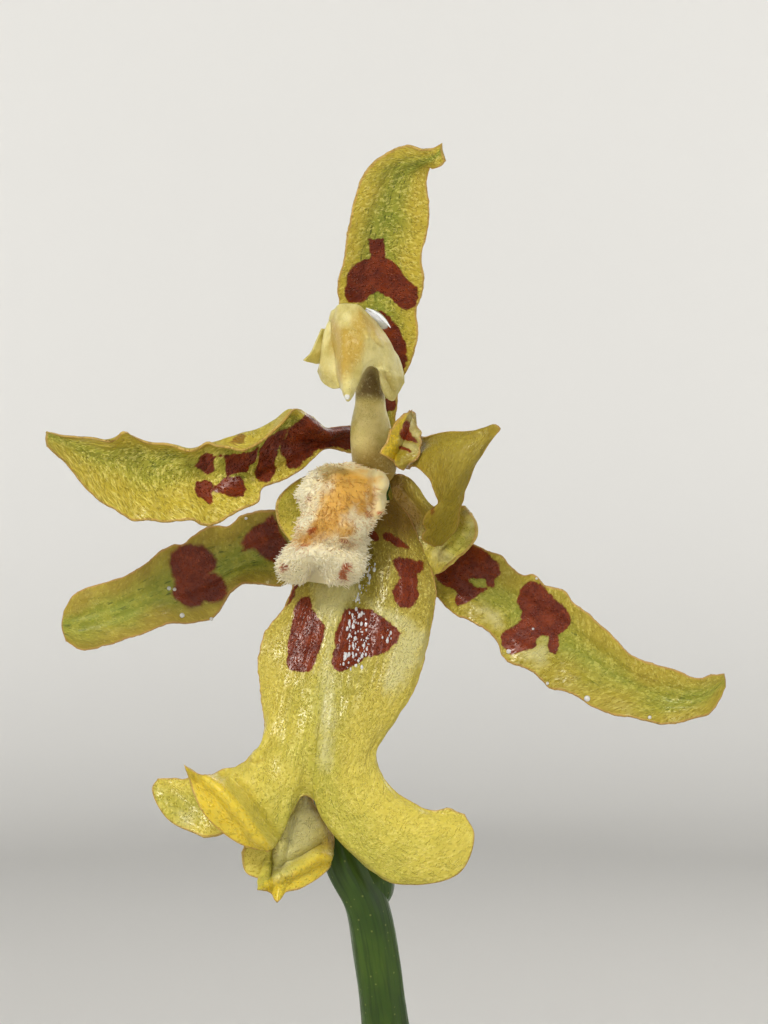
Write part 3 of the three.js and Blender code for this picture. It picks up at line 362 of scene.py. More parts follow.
def add_hairs(shape, roots, out, length, radius, bend, sides=4, rings=4, **values):
    """Adds tapered, bent hairs that stand out of their roots."""
    share = np.linspace(0, 1, rings)
    centre = roots[:, None] + out[:, None] * (length[:, None] * share)[..., None]
    centre = centre + bend[:, None] * (length[:, None] * share ** 2)[..., None]
    side = unit(np.cross(out, unit(bend + (0.01, 0.02, 0.03))))
    over = np.cross(out, side)
    angle = np.arange(sides) / sides * TURN
    ring = np.cos(angle)[None, :, None] * side[:, None] + np.sin(angle)[None, :, None] * over[:, None]
    taper = 1 - 0.72 * share ** 1.5
    points = centre[:, :, None] + ring[:, None] * (radius[:, None] * taper)[..., None, None]
    per = rings * sides
    base = np.concatenate([grid_faces(rings, sides, closed=True)])
    starts = (np.arange(len(roots)) * per)[:, None, None]
    skin = (base[None] + starts).reshape(-1, 4)
    tip = (np.arange(sides)[None, None] + (rings - 1) * sides + starts).reshape(-1, sides)
    root = (np.arange(sides)[None, None, ::-1] + starts).reshape(-1, sides)
    given = {key: np.repeat(v, per, axis=0) for key, v in values.items()}
    up_hair = np.tile(np.repeat(share, sides), len(roots))
    shape.add(points, [skin, tip, root], up_hair=up_hair, **given)


# Node materials


class Field:
    """A value that varies over a finish, which plain arithmetic turns into nodes."""

    def __init__(self, finish, socket):
        self.finish, self.socket = finish, socket

    def __add__(self, other):
        return self.finish.maths("ADD", self, other)

    def __sub__(self, other):
        return self.finish.maths("SUBTRACT", self, other)

    def __rsub__(self, other):
        return self.finish.maths("SUBTRACT", other, self)

    def __mul__(self, other):
        return self.finish.maths("MULTIPLY", self, other)

    __radd__, __rmul__ = __add__, __mul__


class Finish:
    """A node material under construction, with the uniform values on the shader's own sockets."""

    def __init__(self, name, **sockets):
        self.material = bpy.data.materials.new(name)
        self.material.use_nodes = True
        self.tree = self.material.node_tree
        self.shader = self.tree.nodes["Principled BSDF"]
        for key, value in sockets.items():
            self.shader.inputs[key.replace("_", " ")].default_value = value
        self.grain = self.read("grain", "Vector")

    def node(self, kind, feeds=(), **settings):
        made = self.tree.nodes.new(kind)
        for key, value in settings.items():
            setattr(made, key, value)
        for socket, value in enumerate(feeds):
            self.feed(made.inputs[socket], value)
        return made

    def feed(self, socket, value):
        value = getattr(value, "socket", value)
        if isinstance(value, bpy.types.NodeSocket):
            self.tree.links.new(value, socket)
        elif value is not None:
            socket.default_value = (*value, 1) if socket.type == "RGBA" and len(value) == 3 else value

    def read(self, name, output="Fac"):
        return Field(self, self.node("ShaderNodeAttribute", attribute_name=name).outputs[output])

    def maths(self, operation, *given):
        return Field(self, self.node("ShaderNodeMath", given, operation=operation).outputs[0])

    def stretched(self, vector, scale):
        return self.node("ShaderNodeVectorMath", [vector, scale], operation="MULTIPLY").outputs[0]

    def noise(self, scale, detail=2.0, vector=None, rough=0.5, bend=0.0):
        made = self.node("ShaderNodeTexNoise")
        self.feed(made.inputs["Vector"], self.grain if vector is None else vector)
        for key, value in (("Scale", scale), ("Detail", detail), ("Roughness", rough), ("Distortion", bend)):
            made.inputs[key].default_value = value
        return Field(self, made.outputs["Fac"])

    def cells(self, scale, vector=None, feature="F1", output="Distance"):
        made = self.node("ShaderNodeTexVoronoi", feature=feature)
        self.feed(made.inputs["Vector"], self.grain if vector is None else vector)
        made.inputs["Scale"].default_value = scale
        return Field(self, made.outputs[output])

    def each_cell(self, scale, vector=None):
        """A value of its own for each cell."""
        parts = self.node("ShaderNodeSeparateColor")
        self.feed(parts.inputs[0], self.cells(scale, vector, output="Color"))
        return Field(self, parts.outputs[0])

    def step(self, value, low, high, to_low=0.0, to_high=1.0):
        made = self.node("ShaderNodeMapRange", [value, low, high, to_low, to_high])
        made.interpolation_type = "SMOOTHSTEP"
        return Field(self, made.outputs[0])

    def blend(self, share, a, b, how="MIX"):
        made = self.node("ShaderNodeMix", data_type="RGBA", blend_type=how)
        self.feed(made.inputs[0], share)
        self.feed(made.inputs[6], a)
        self.feed(made.inputs[7], b)
        return made.outputs[2]

    def bump(self, height, depth_mm, strength=1.0, over=None):
        made = self.node("ShaderNodeBump")
        made.inputs["Strength"].default_value = strength
        made.inputs["Distance"].default_value = depth_mm * MM
        self.feed(made.inputs["Height"], height)
        if over is not None:
            self.feed(made.inputs["Normal"], over)
        return made.outputs[0]

    def done(self, colour, rough, normal=None):
        self.feed(self.shader.inputs["Base Color"], colour)
        self.feed(self.shader.inputs["Roughness"], rough)
        if normal is not None:
            self.feed(self.shader.inputs["Normal"], normal)
        return self.material

# Bloom lines from foot to tip, as across, up and depth from the middle of the view

DORSAL_SEPAL = [
    # left
    [(-0.4, 2.5, 1.3), (-0.5, 3.5, 1.2), (-0.95, 4.95, 0.9), (-1.45, 6, 0.7), (-1.6, 7.2, 0.2),
     (-1.65, 8.25, -0.3), (-1.5, 8.9, -0.6), (-1.35, 9.95, -1), (-1.2, 10.8, -1.3), (-0.95, 11.6, -1.6),
     (-0.65, 12.3, -1.9), (0, 12.9, -2.1), (0.75, 13.2, -2.3), (1.35, 13.05, -2.6), (1.75, 13.1, -2.8),
     (2.1, 13.3, -2.9)],
    # mid
    [(-0.05, 2.5, 1.2), (-0.05, 3.65, 1.1), (-0.05, 5.3, 0.9), (-0.15, 6.9, 0.5), (-0.15, 8.35, 0.1),
     (0, 9.8, -0.4), (0.2, 11.05, -1), (0.65, 12.25, -1.6), (1.35, 12.65, -2.2), (1.75, 12.75, -2.6),
     (2.1, 13, -2.9)],
    # right
    [(0.3, 2.5, 1.3), (0.45, 3.6, 1.1), (0.55, 4.3, 1), (0.95, 5.35, 0.6), (1.25, 6.35, 0.2),
     (1.15, 7.25, 0), (1.45, 8.05, -0.3), (1.35, 9.2, -0.7), (1.5, 9.8, -0.9), (1.65, 10.8, -1.2),
     (1.55, 11.6, -1.5), (1.65, 12.45, -1.9), (1.8, 12.35, -2.3), (2, 12.45, -2.7), (2.2, 12.65, -2.9)],
]

LEFT_PETAL = [
    # rim
    [(-0.8, 2.95, 1.2), (-1.4, 3.1, 0.8), (-2.1, 2.95, 0.2), (-2.65, 3.4, -0.4), (-3.3, 3.7, -1.6),
     (-3.7, 3.15, -2.3), (-4.4, 2.6, -2.2), (-5.1, 2.2, -2.5), (-5.75, 2.35, -2.4), (-6.35, 2.5, -1.7),
     (-7.05, 2.25, -2.2), (-7.65, 2.45, -2), (-8.3, 2.5, -1.9), (-8.95, 2.7, -2), (-9.4, 2.9, -2.9),
     (-9.8, 2.55, -2.4), (-10.5, 2.65, -2.3), (-11.4, 2.75, -2.4), (-12.15, 2.9, -2.8)],
    # crest
    [(-0.8, 2.85, 1.1), (-1.4, 2.9, 0.5), (-2.1, 2.8, -0.2), (-2.75, 3.15, -0.9), (-3.35, 3.55, -1.2),
     (-3.95, 3.15, -1), (-4.55, 2.9, -1.2), (-5.15, 2.75, -1.6), (-5.75, 2.5, -1.7), (-6.35, 2.35, -1.5),
     (-7.05, 2.15, -1.6), (-7.65, 2.25, -1.5), (-8.3, 2.25, -1.5), (-8.9, 2.4, -1.7), (-9.45, 2.5, -2.1),
     (-9.85, 2.4, -2.1), (-10.6, 2.5, -2.1), (-11.4, 2.65, -2.3), (-12.15, 2.9, -2.8)],
    # mid
    [(-0.8, 2.5, 1.2), (-1.45, 2.65, 0.6), (-2.4, 2.55, 0.1), (-3.2, 2.4, -0.4), (-4.05, 2, -0.7),
     (-5, 1.55, -0.9), (-6.1, 1.1, -1), (-7.35, 1, -1.1), (-8.4, 1.1, -1.3), (-9.5, 1.45, -1.6),
     (-10.5, 1.85, -1.9), (-11.4, 2.25, -2.3), (-12.2, 2.65, -2.8)],
    # low
    [(-0.8, 2.1, 1.2), (-1.35, 2.15, 0.7), (-2.1, 2.25, 0.1), (-2.6, 1.85, -0.3), (-3, 1.5, -0.7),
     (-3.65, 1.15, -1), (-4.4, 0.85, -1.5), (-4.55, 0.35, -1.8), (-5.25, 0.05, -1.9), (-6.25, -0.45, -1.8),
     (-6.95, -0.25, -2.1), (-7.7, -0.4, -1.9), (-8.4, -0.3, -2.1), (-9.1, -0.3, -2), (-9.65, 0.05, -2.1),
     (-10.3, 0.45, -2.1), (-10.9, 1.05, -2.2), (-11.45, 1.75, -2.4), (-12.15, 2.35, -2.8)],
]

RIGHT_PETAL = [
    # outer
    [(0.7, 2.75, 1.3), (0.95, 2.9, 0.2), (1.25, 2.75, -1.4), (1.5, 2.7, -2.5), (1.8, 2.8, -3.1),
     (2.4, 2.9, -4), (3, 2.9, -4.5), (3.6, 3, -4.7), (4, 3.15, -4.8), (4.2, 3, -4.8), (4.05, 2.8, -4.9),
     (3.8, 2.5, -4.9), (3.55, 2.1, -4.9), (3.3, 1.75, -4.8), (3.1, 1.2, -4.6), (2.9, 0.75, -4.2),
     (2.85, 0.45, -3.8), (2.75, 0.2, -3.5), (2.7, -0.25, -2.8), (2.6, -0.6, -2.3), (2.35, -0.9, -1.9),
     (2.1, -1.2, -1.7)],
    # mid
    [(0.7, 2.15, 1.2), (1.1, 2.4, 0), (1.5, 2.4, -2.2), (2, 2.35, -4.2), (2.65, 2.15, -5), (2.65, 1.5, -5),
     (2.5, 0.8, -4.5), (2.3, 0.05, -3.6), (2.1, -0.65, -2.4), (1.95, -1.2, -1.7)],
    # inner
    [(0.7, 1.6, 1.2), (0.85, 1.55, -0.2), (0.9, 1.6, -2.2), (1, 1.65, -3), (1.2, 1.6, -3.4),
     (1.45, 1.4, -3.8), (1.65, 1.2, -3.9), (1.75, 0.95, -3.9), (1.85, 0.65, -3.8), (1.95, 0.4, -3.6),
     (1.85, 0.2, -3.3), (1.6, 0, -3), (1.4, -0.35, -2.6), (1.5, -0.6, -2.3), (1.35, -0.9, -2),
     (1.55, -1.1, -1.8), (1.8, -1.25, -1.6)],
]

RIGHT_PETAL_FLAP = [
    # outer
    [(0.95, 3.65, -2.4), (0.75, 3.55, -2.7), (0.55, 3.35, -3), (0.3, 3.05, -3.3), (0.1, 2.7, -3.6),
     (-0.05, 2.3, -3.7), (-0.15, 2.1, -3.7)],
    # granular
    [(0.95, 3.65, -2.3), (0.85, 3.4, -2.6), (0.65, 3.15, -2.8), (0.45, 2.8, -3.1), (0.3, 2.5, -3.4),
     (0.15, 2.2, -3.6), (0.05, 2, -3.6)],
    # valley
    [(1, 3.65, -2.2), (0.95, 3.3, -2.4), (0.85, 2.9, -2.6), (0.7, 2.5, -2.8), (0.45, 2.15, -3.1),
     (0.35, 1.95, -3.2), (0.35, 1.8, -3.3)],
    # inner
    [(1.05, 3.6, -2.4), (1.1, 3.15, -2.5), (1.1, 2.75, -2.8), (0.95, 2.3, -3.2), (0.8, 2, -3.5),
     (0.6, 1.75, -3.5), (0.5, 1.6, -3.4)],
    # root
    [(1.1, 3.55, -2.3), (1.15, 3, -2.6), (1.35, 2.65, -3), (1.3, 2.15, -3.6), (1.05, 1.8, -3.6),
     (0.85, 1.6, -3.4), (0.7, 1.5, -3.3)],
]

LEFT_LATERAL_SEPAL = [
    # upper
    [(-0.45, 1.2, 1.2), (-1.4, 0.7, 1.3), (-2.65, 0.15, 1.4), (-4, 0.05, 1.3), (-5.1, -0.1, 1.5),
     (-5.55, -0.45, 1.7), (-6.3, -0.55, 1.7), (-6.9, -0.85, 1.8), (-7.25, -1.15, 2), (-7.65, -1.2, 1.9),
     (-8.15, -1.5, 2), (-8.8, -2, 2.2), (-9.6, -2.4, 2.4), (-10.2, -2.6, 2.6), (-10.8, -2.75, 2.7),
     (-11.25, -3.05, 2.8), (-11.5, -3.6, 2.9)],
    # mid
    [(-0.4, 0.95, 1.2), (-1.6, 0, 1.4), (-3, -0.85, 1.7), (-4.45, -1.5, 1.9), (-5.9, -2.1, 2.1),
     (-7.35, -2.65, 2.2), (-8.8, -3.25, 2.4), (-10.2, -3.8, 2.7), (-11.6, -4.1, 2.9)],
    # lower
    [(-0.3, 0.65, 1.2), (-1.4, -0.65, 1.4), (-2.65, -2.15, 1.5), (-3.75, -2.65, 1.4), (-4.6, -2.6, 1.5),
     (-5.15, -2.65, 1.6), (-5.5, -2.9, 1.8), (-5.95, -3.6, 1.9), (-6.35, -3.9, 1.9), (-7, -4, 2),
     (-7.8, -4.05, 2), (-8.45, -4.3, 2.2), (-9.15, -4.55, 2.4), (-10.1, -4.85, 2.6), (-10.95, -4.95, 2.8),
     (-11.45, -4.65, 2.9)],
]

RIGHT_LATERAL_SEPAL = [
    # upper
    [(0.35, 1.2, 1.2), (1.3, 0.25, 1.1), (2.3, -0.65, 0.7), (3.15, -1.1, 0.2), (3.7, -1.4, -0.1),
     (4.25, -1.55, -0.3), (4.55, -1.95, -0.2), (4.95, -2.25, -0.3), (5.45, -2.25, -0.6),
     (5.85, -2.65, -0.5), (6.45, -2.8, -0.6), (6.8, -3.2, -0.6), (7.55, -3.8, -0.7), (8.15, -4.4, -0.8),
     (8.85, -5.1, -0.9), (9.6, -5.45, -1), (10.5, -5.7, -1.1), (11.4, -6, -1.1), (11.8, -5.85, -0.9),
     (12.25, -5.8, -0.5)],
    # mid
    [(0.25, 0.95, 1.2), (1.1, -0.45, 1.1), (2.2, -1.65, 0.5), (3.65, -2.8, 0.1), (5.1, -3.8, -0.1),
     (6.7, -4.85, -0.3), (8.3, -5.85, -0.6), (9.95, -6.6, -0.8), (11.4, -6.7, -1), (12.3, -6.05, -0.6)],
    # lower
    [(0.15, 0.65, 1.2), (0.75, -1, 1.2), (1.5, -2.45, 0.9), (2.1, -3.3, 0.3), (2.5, -3.65, 0),
     (3.05, -3.9, -0.3), (3.7, -4.3, -0.4), (4.1, -4.7, -0.3), (4.25, -5.15, -0.4), (4.55, -5.45, -0.6),
     (5.15, -5.65, -0.7), (5.6, -6, -0.6), (5.95, -6.35, -0.6), (6.35, -6.4, -0.8), (6.9, -6.6, -0.9),
     (7.4, -6.95, -0.9), (8, -7.25, -1), (8.85, -7.4, -1.1), (9.6, -7.55, -1.2), (10.3, -7.65, -1.2),
     (11, -7.5, -1.2), (11.65, -7.3, -1.2), (12.1, -6.75, -1), (12.3, -6.3, -0.7)],
]

LIP_BLADE = [
    # right margin
    [(0.5, 0.45, 0.1), (0.85, -0.3, -0.2), (1.6, -1.8, -0.7), (1.9, -2.9, -1.1), (1.75, -3.65, -1.4),
     (1.65, -4.55, -1.7), (1.4, -5.4, -2), (1.1, -6.4, -2.3), (0.55, -7.2, -2.5), (0, -7.9, -2.5),
     (-0.3, -8.65, -2.6), (-0.15, -9.4, -2.7), (0.35, -10.05, -2.8), (1.1, -10.5, -2.9),
     (1.65, -10.75, -3), (2.25, -10.7, -3.1), (2.9, -10.9, -3.1)],
    # right lobe tip
    [(0.3, 0.4, 0), (0.65, -0.3, -0.4), (1.1, -1.9, -1), (1.35, -3.15, -1.5), (1.2, -4.6, -2),
     (0.75, -6.05, -2.5), (0.15, -7.25, -2.7), (-0.55, -8.55, -2.8), (-0.45, -9.45, -2.9),
     (0.15, -10.45, -3), (1.2, -11.15, -3.1), (2.4, -11.5, -3.2), (3.25, -11.6, -3.1)],
    # right lobe low
    [(0.15, 0.35, -0.1), (0.35, -0.45, -0.6), (0.65, -2.25, -1.3), (0.65, -4.25, -2), (0.05, -6.4, -2.7),
     (-0.8, -8.55, -3), (-0.95, -9.45, -3.1), (-0.6, -10.55, -3.2), (0.5, -11.6, -3.3),
     (1.75, -12.35, -3.3), (2.75, -12.95, -3.1)],
    # right lobe bottom
    [(-0.05, 0.3, -0.1), (0.05, -0.65, -0.7), (0.1, -2.65, -1.5), (-0.05, -4.8, -2.2),
     (-0.65, -6.95, -2.9), (-1.2, -8.5, -3.1), (-1.45, -9.65, -3.2), (-1.2, -10.75, -3.3),
     (-0.5, -11.75, -3.4), (0.45, -12.6, -3.4), (1.45, -13.4, -3.2)],
    # right lobe inner
    [(-0.25, 0.3, -0.2), (-0.25, -0.85, -0.7), (-0.45, -3, -1.5), (-0.75, -5.15, -2.3), (-1.3, -7.3, -3),
     (-1.75, -8.75, -3.2), (-1.95, -9.85, -3.2), (-1.7, -10.9, -3.3), (-1.15, -11.9, -3.3),
     (-0.35, -12.65, -3.2), (0.45, -13.3, -3.1)],
    # notch right
    [(-0.45, 0.25, -0.2), (-0.6, -1, -0.6), (-1.05, -3.35, -1.4), (-1.45, -5.5, -2.2), (-1.85, -7.5, -3),
     (-2.2, -8.85, -3.2), (-2.4, -9.85, -3.1), (-2.3, -10.6, -3), (-1.85, -11.35, -2.8),
     (-1.2, -12.1, -2.6), (-0.65, -12.6, -2.4)],
    # notch
    [(-0.7, 0.2, -0.2), (-0.95, -1.1, -0.6), (-1.6, -3.45, -1.4), (-2.1, -5.7, -2.2), (-2.5, -7.55, -3),
     (-2.75, -8.75, -3.2), (-2.9, -9.6, -3.1), (-2.9, -10.2, -2.8)],
    # notch left
    [(-0.95, 0.2, -0.2), (-1.35, -1.2, -0.6), (-2.15, -3.55, -1.4), (-2.75, -5.75, -2.2),
     (-3.1, -7.55, -3), (-3.3, -8.75, -3.3), (-3.55, -9.85, -3.4), (-3.8, -10.9, -3.5),
     (-4.05, -12.15, -3.5)],
    # left lobe bottom
    [(-1.2, 0.15, -0.2), (-1.75, -1.2, -0.6), (-2.65, -3.45, -1.3), (-3.25, -5.6, -2.1),
     (-3.6, -7.4, -2.8), (-3.9, -8.65, -3.2), (-4.3, -9.85, -3.6), (-4.7, -10.9, -3.8), (-5.1, -12, -3.8)],
    # left lobe side
    [(-1.45, 0.15, -0.1), (-2.25, -1.2, -0.5), (-3.15, -3.4, -1.2), (-3.75, -5.45, -1.9),
     (-4.05, -7.2, -2.5), (-4.4, -8.5, -3), (-5, -9.6, -3.5), (-5.7, -10.35, -3.9), (-6.55, -10.8, -4)],
    # left margin
    [(-1.7, 0.15, 0), (-2.75, -1.2, -0.4), (-3.5, -3.3, -1), (-4.05, -4.05, -1.2), (-4.4, -4.8, -1.5),
     (-4.55, -5.4, -1.7), (-4.45, -6.4, -2), (-4.35, -7.4, -2.3), (-4.45, -8.35, -2.6),
     (-4.95, -8.9, -2.8), (-5.6, -9.2, -3), (-6.35, -9.45, -3.4), (-6.85, -9.3, -3.8), (-7.2, -9.05, -4.1)],
]

LIP_BACK_LOBE = [
    # top
    [(-4.05, -8.65, -2.9), (-5.25, -9.2, -2.2), (-6.45, -9.55, -1.6), (-7.35, -9.6, -1.3),
     (-8.15, -9.6, -1.2)],
    # side
    [(-4.05, -9.1, -3), (-5.45, -9.85, -2.2), (-7.05, -10.2, -1.6), (-8.35, -9.95, -1.3)],
    # bottom
    [(-4.05, -9.65, -3.1), (-5.4, -10.45, -2.3), (-6.75, -10.9, -1.8), (-7.85, -11, -1.6)],
    # inner
    [(-4.05, -10.2, -3.2), (-5.05, -11, -2.4), (-5.85, -11.6, -2.1), (-6.5, -11.7, -2.1)],
]

LIP_FOLD = [
    # right
    [(-2.75, -10.1, -2.4), (-2.25, -10.9, -1.9), (-1.85, -11.75, -1.5), (-1.95, -12.45, -1.2)],
    # roll
    [(-2.8, -10.1, -2.4), (-2.45, -11.1, -2.1), (-2.1, -12, -1.9), (-2, -12.8, -2)],
    # low right
    [(-2.9, -10.1, -2.5), (-2.75, -11.25, -2.4), (-2.5, -12.35, -2.3), (-2.4, -13.2, -2.5)],
    # low middle
    [(-2.95, -10.1, -2.6), (-3.05, -11.4, -2.6), (-3, -12.55, -2.6), (-3, -13.55, -3)],
    # before tip
    [(-3, -10.15, -2.7), (-3.3, -11.4, -2.7), (-3.4, -12.6, -2.8), (-3.55, -13.7, -3.2)],
    # tip down
    [(-3, -10.15, -2.7), (-3.4, -11.4, -2.7), (-3.6, -12.6, -2.8), (-3.85, -14.05, -3.5)],
    # between tips
    [(-3.05, -10.15, -2.7), (-3.55, -11.4, -2.8), (-3.8, -12.6, -2.8), (-4.1, -13.7, -3.2)],
    # tip left
    [(-3.15, -10.2, -2.8), (-3.65, -11.4, -2.8), (-4.05, -12.45, -2.8), (-4.6, -13.6, -3.6)],
    # under tip
    [(-3.2, -10.2, -2.8), (-3.85, -11.4, -2.9), (-4.25, -12.4, -2.8), (-4.25, -13.3, -2.9)],
    # second layer
    [(-3.3, -10.2, -2.9), (-4.05, -11.3, -2.9), (-4.65, -12.15, -2.8), (-4.95, -13, -2.8)],
    # left
    [(-3.4, -10.25, -2.9), (-4.3, -11.25, -2.9), (-4.85, -11.8, -2.9), (-5.1, -12.25, -3)],
]

LIP_RIGHT_LOBE = [
    # upper
    [(0.15, 1.3, 0.3), (0.7, 1.35, 0.3), (1.2, 0.85, 0.1), (1.7, 0.25, -0.2), (2.25, 0.05, -0.8),
     (2.65, 0.2, -1.5), (2.9, 0.2, -2)],
    # outer high
    [(0.3, 0.6, 0.1), (1.1, 0.25, 0), (2, -0.3, -0.4), (2.75, -0.35, -1.2), (3.25, -0.25, -2.1)],
    # outer
    [(0.35, -0.1, 0), (1.3, -0.65, -0.2), (2.2, -0.95, -0.7), (2.85, -0.95, -1.5), (3.3, -0.8, -2.2)],
    # outer low
    [(0.45, -0.85, -0.2), (1.2, -1.45, -0.4), (2, -1.6, -0.9), (2.65, -1.5, -1.6), (3.05, -1.25, -2)],
    # lower
    [(0.5, -1.75, -0.1), (1, -2.2, -0.2), (1.55, -2.35, -0.4), (2, -2.2, -0.8), (2.4, -1.85, -1.4)],
]

LIP_LEFT_LOBE = [
    # upper
    [(-1.15, 1.4, 0.3), (-1.95, 1.45, 0.1), (-2.55, 1.4, -0.1), (-3, 1.2, -0.3)],
    # outer high
    [(-1.2, 0.85, 0.2), (-2.25, 0.9, 0.1), (-2.9, 0.95, -0.2), (-3.5, 0.85, -0.5)],
    # outer
    [(-1.3, 0.2, 0.1), (-2.4, 0.2, 0.1), (-3.2, 0.3, -0.2), (-3.85, 0.35, -0.7)],
    # outer low
    [(-1.35, -0.35, 0), (-2.3, -0.5, 0), (-3.1, -0.45, -0.2), (-3.8, -0.35, -0.6)],
    # lower
    [(-1.45, -1, -0.2), (-2.25, -1.2, -0.2), (-2.9, -1.2, -0.3), (-3.4, -1.05, -0.4)],
]

HOOD = [
    # left
    [(-1.95, 6.85, -2), (-2.1, 6.2, -1.8), (-2.2, 5.55, -1.5), (-2.35, 5.05, -1.5)],
    # left lobe
    [(-1.8, 7.15, -2.3), (-2.05, 6.35, -2.3), (-2.15, 5.4, -2.2), (-2.15, 4.7, -2)],
    # left lobe inner
    [(-1.75, 7.25, -2.5), (-1.85, 6.35, -2.5), (-1.85, 5.4, -2.6), (-1.8, 4.45, -2.5)],
    # groove
    [(-1.65, 7.3, -2.6), (-1.75, 6.35, -2.9), (-1.6, 5.35, -3), (-1.5, 4.45, -3.1)],
    # beak left
    [(-1.55, 7.4, -2.8), (-1.55, 6.2, -3.6), (-1.5, 5.05, -3.8), (-1.4, 4.15, -3.8)],
    # beak
    [(-1.35, 7.4, -2.8), (-1.35, 6.1, -4), (-1.35, 4.9, -4.1), (-1.3, 4, -3.9)],
    # beak right
    [(-1.1, 7.4, -2.9), (-0.95, 6.1, -4.1), (-0.95, 5.35, -4.1), (-1.15, 4.2, -3.8)],
    # arch left
    [(-0.95, 7.35, -2.9), (-0.75, 6.25, -4), (-0.75, 5.6, -4), (-0.95, 4.75, -3.8)],
    # arch
    [(-0.8, 7.2, -2.8), (-0.5, 6.25, -3.8), (-0.45, 5.7, -3.8), (-0.55, 5.25, -3.7)],
    # arch right
    [(-0.65, 7.05, -2.7), (-0.25, 6.2, -3.5), (-0.2, 5.65, -3.5), (-0.2, 5.1, -3.4)],
    # right inner
    [(-0.5, 6.9, -2.5), (0, 6, -3.2), (0.1, 5.25, -3.1), (0.05, 4.25, -2.7)],
    # right lobe
    [(-0.35, 6.75, -2.3), (0.2, 5.85, -2.8), (0.35, 4.95, -2.6), (0.3, 4, -2.3)],
    # under tooth
    [(-0.25, 6.65, -2.1), (0.3, 5.7, -2.4), (0.5, 5.05, -2.3), (0.5, 4.3, -2.1)],
    # tooth
    [(-0.15, 6.5, -2), (0.45, 5.6, -2), (0.65, 5.1, -1.9), (0.75, 4.7, -2)],
]

WING = [
    # upper
    [(-1.85, 6.85, -1.9), (-2, 6.6, -2), (-2.25, 6.6, -2.2)],
    # upper mid
    [(-1.9, 6.5, -1.9), (-2.25, 6.25, -2), (-2.45, 6.15, -2.3)],
    # middle
    [(-1.9, 6, -1.8), (-2.25, 5.85, -2), (-2.65, 5.7, -2.5)],
    # lower
    [(-1.95, 5.55, -1.7), (-2.4, 5.35, -2), (-2.9, 5.45, -2.7)],
]

COLUMN_AXIS = [
    (-0.25, 1, 0.4), (-0.35, 1.8, -0.1), (-0.45, 2.6, -0.6), (-0.5, 3.4, -1.1), (-0.5, 4.1, -1.5),
    (-0.55, 4.8, -1.9), (-0.65, 5.55, -2.2), (-0.85, 6.35, -2.3), (-1, 6.9, -2.2),
]

PEDICEL_AXIS = [
    (-0.05, 1.5, 2.5), (-0.25, 0.45, 3.2), (-0.85, -1.75, 3.3), (-1.5, -4.95, 2.6), (-1.85, -8.2, 1.4),
    (-1.75, -10.8, 0.2), (-1.35, -12.6, -0.3), (-0.65, -14.05, -0.2), (-0.25, -16.15, 0.3),
    (0.05, -18.45, 1.1), (0.35, -20.65, 2), (0.55, -21.7, 2.4), (0.6, -22.9, 2.4),
]
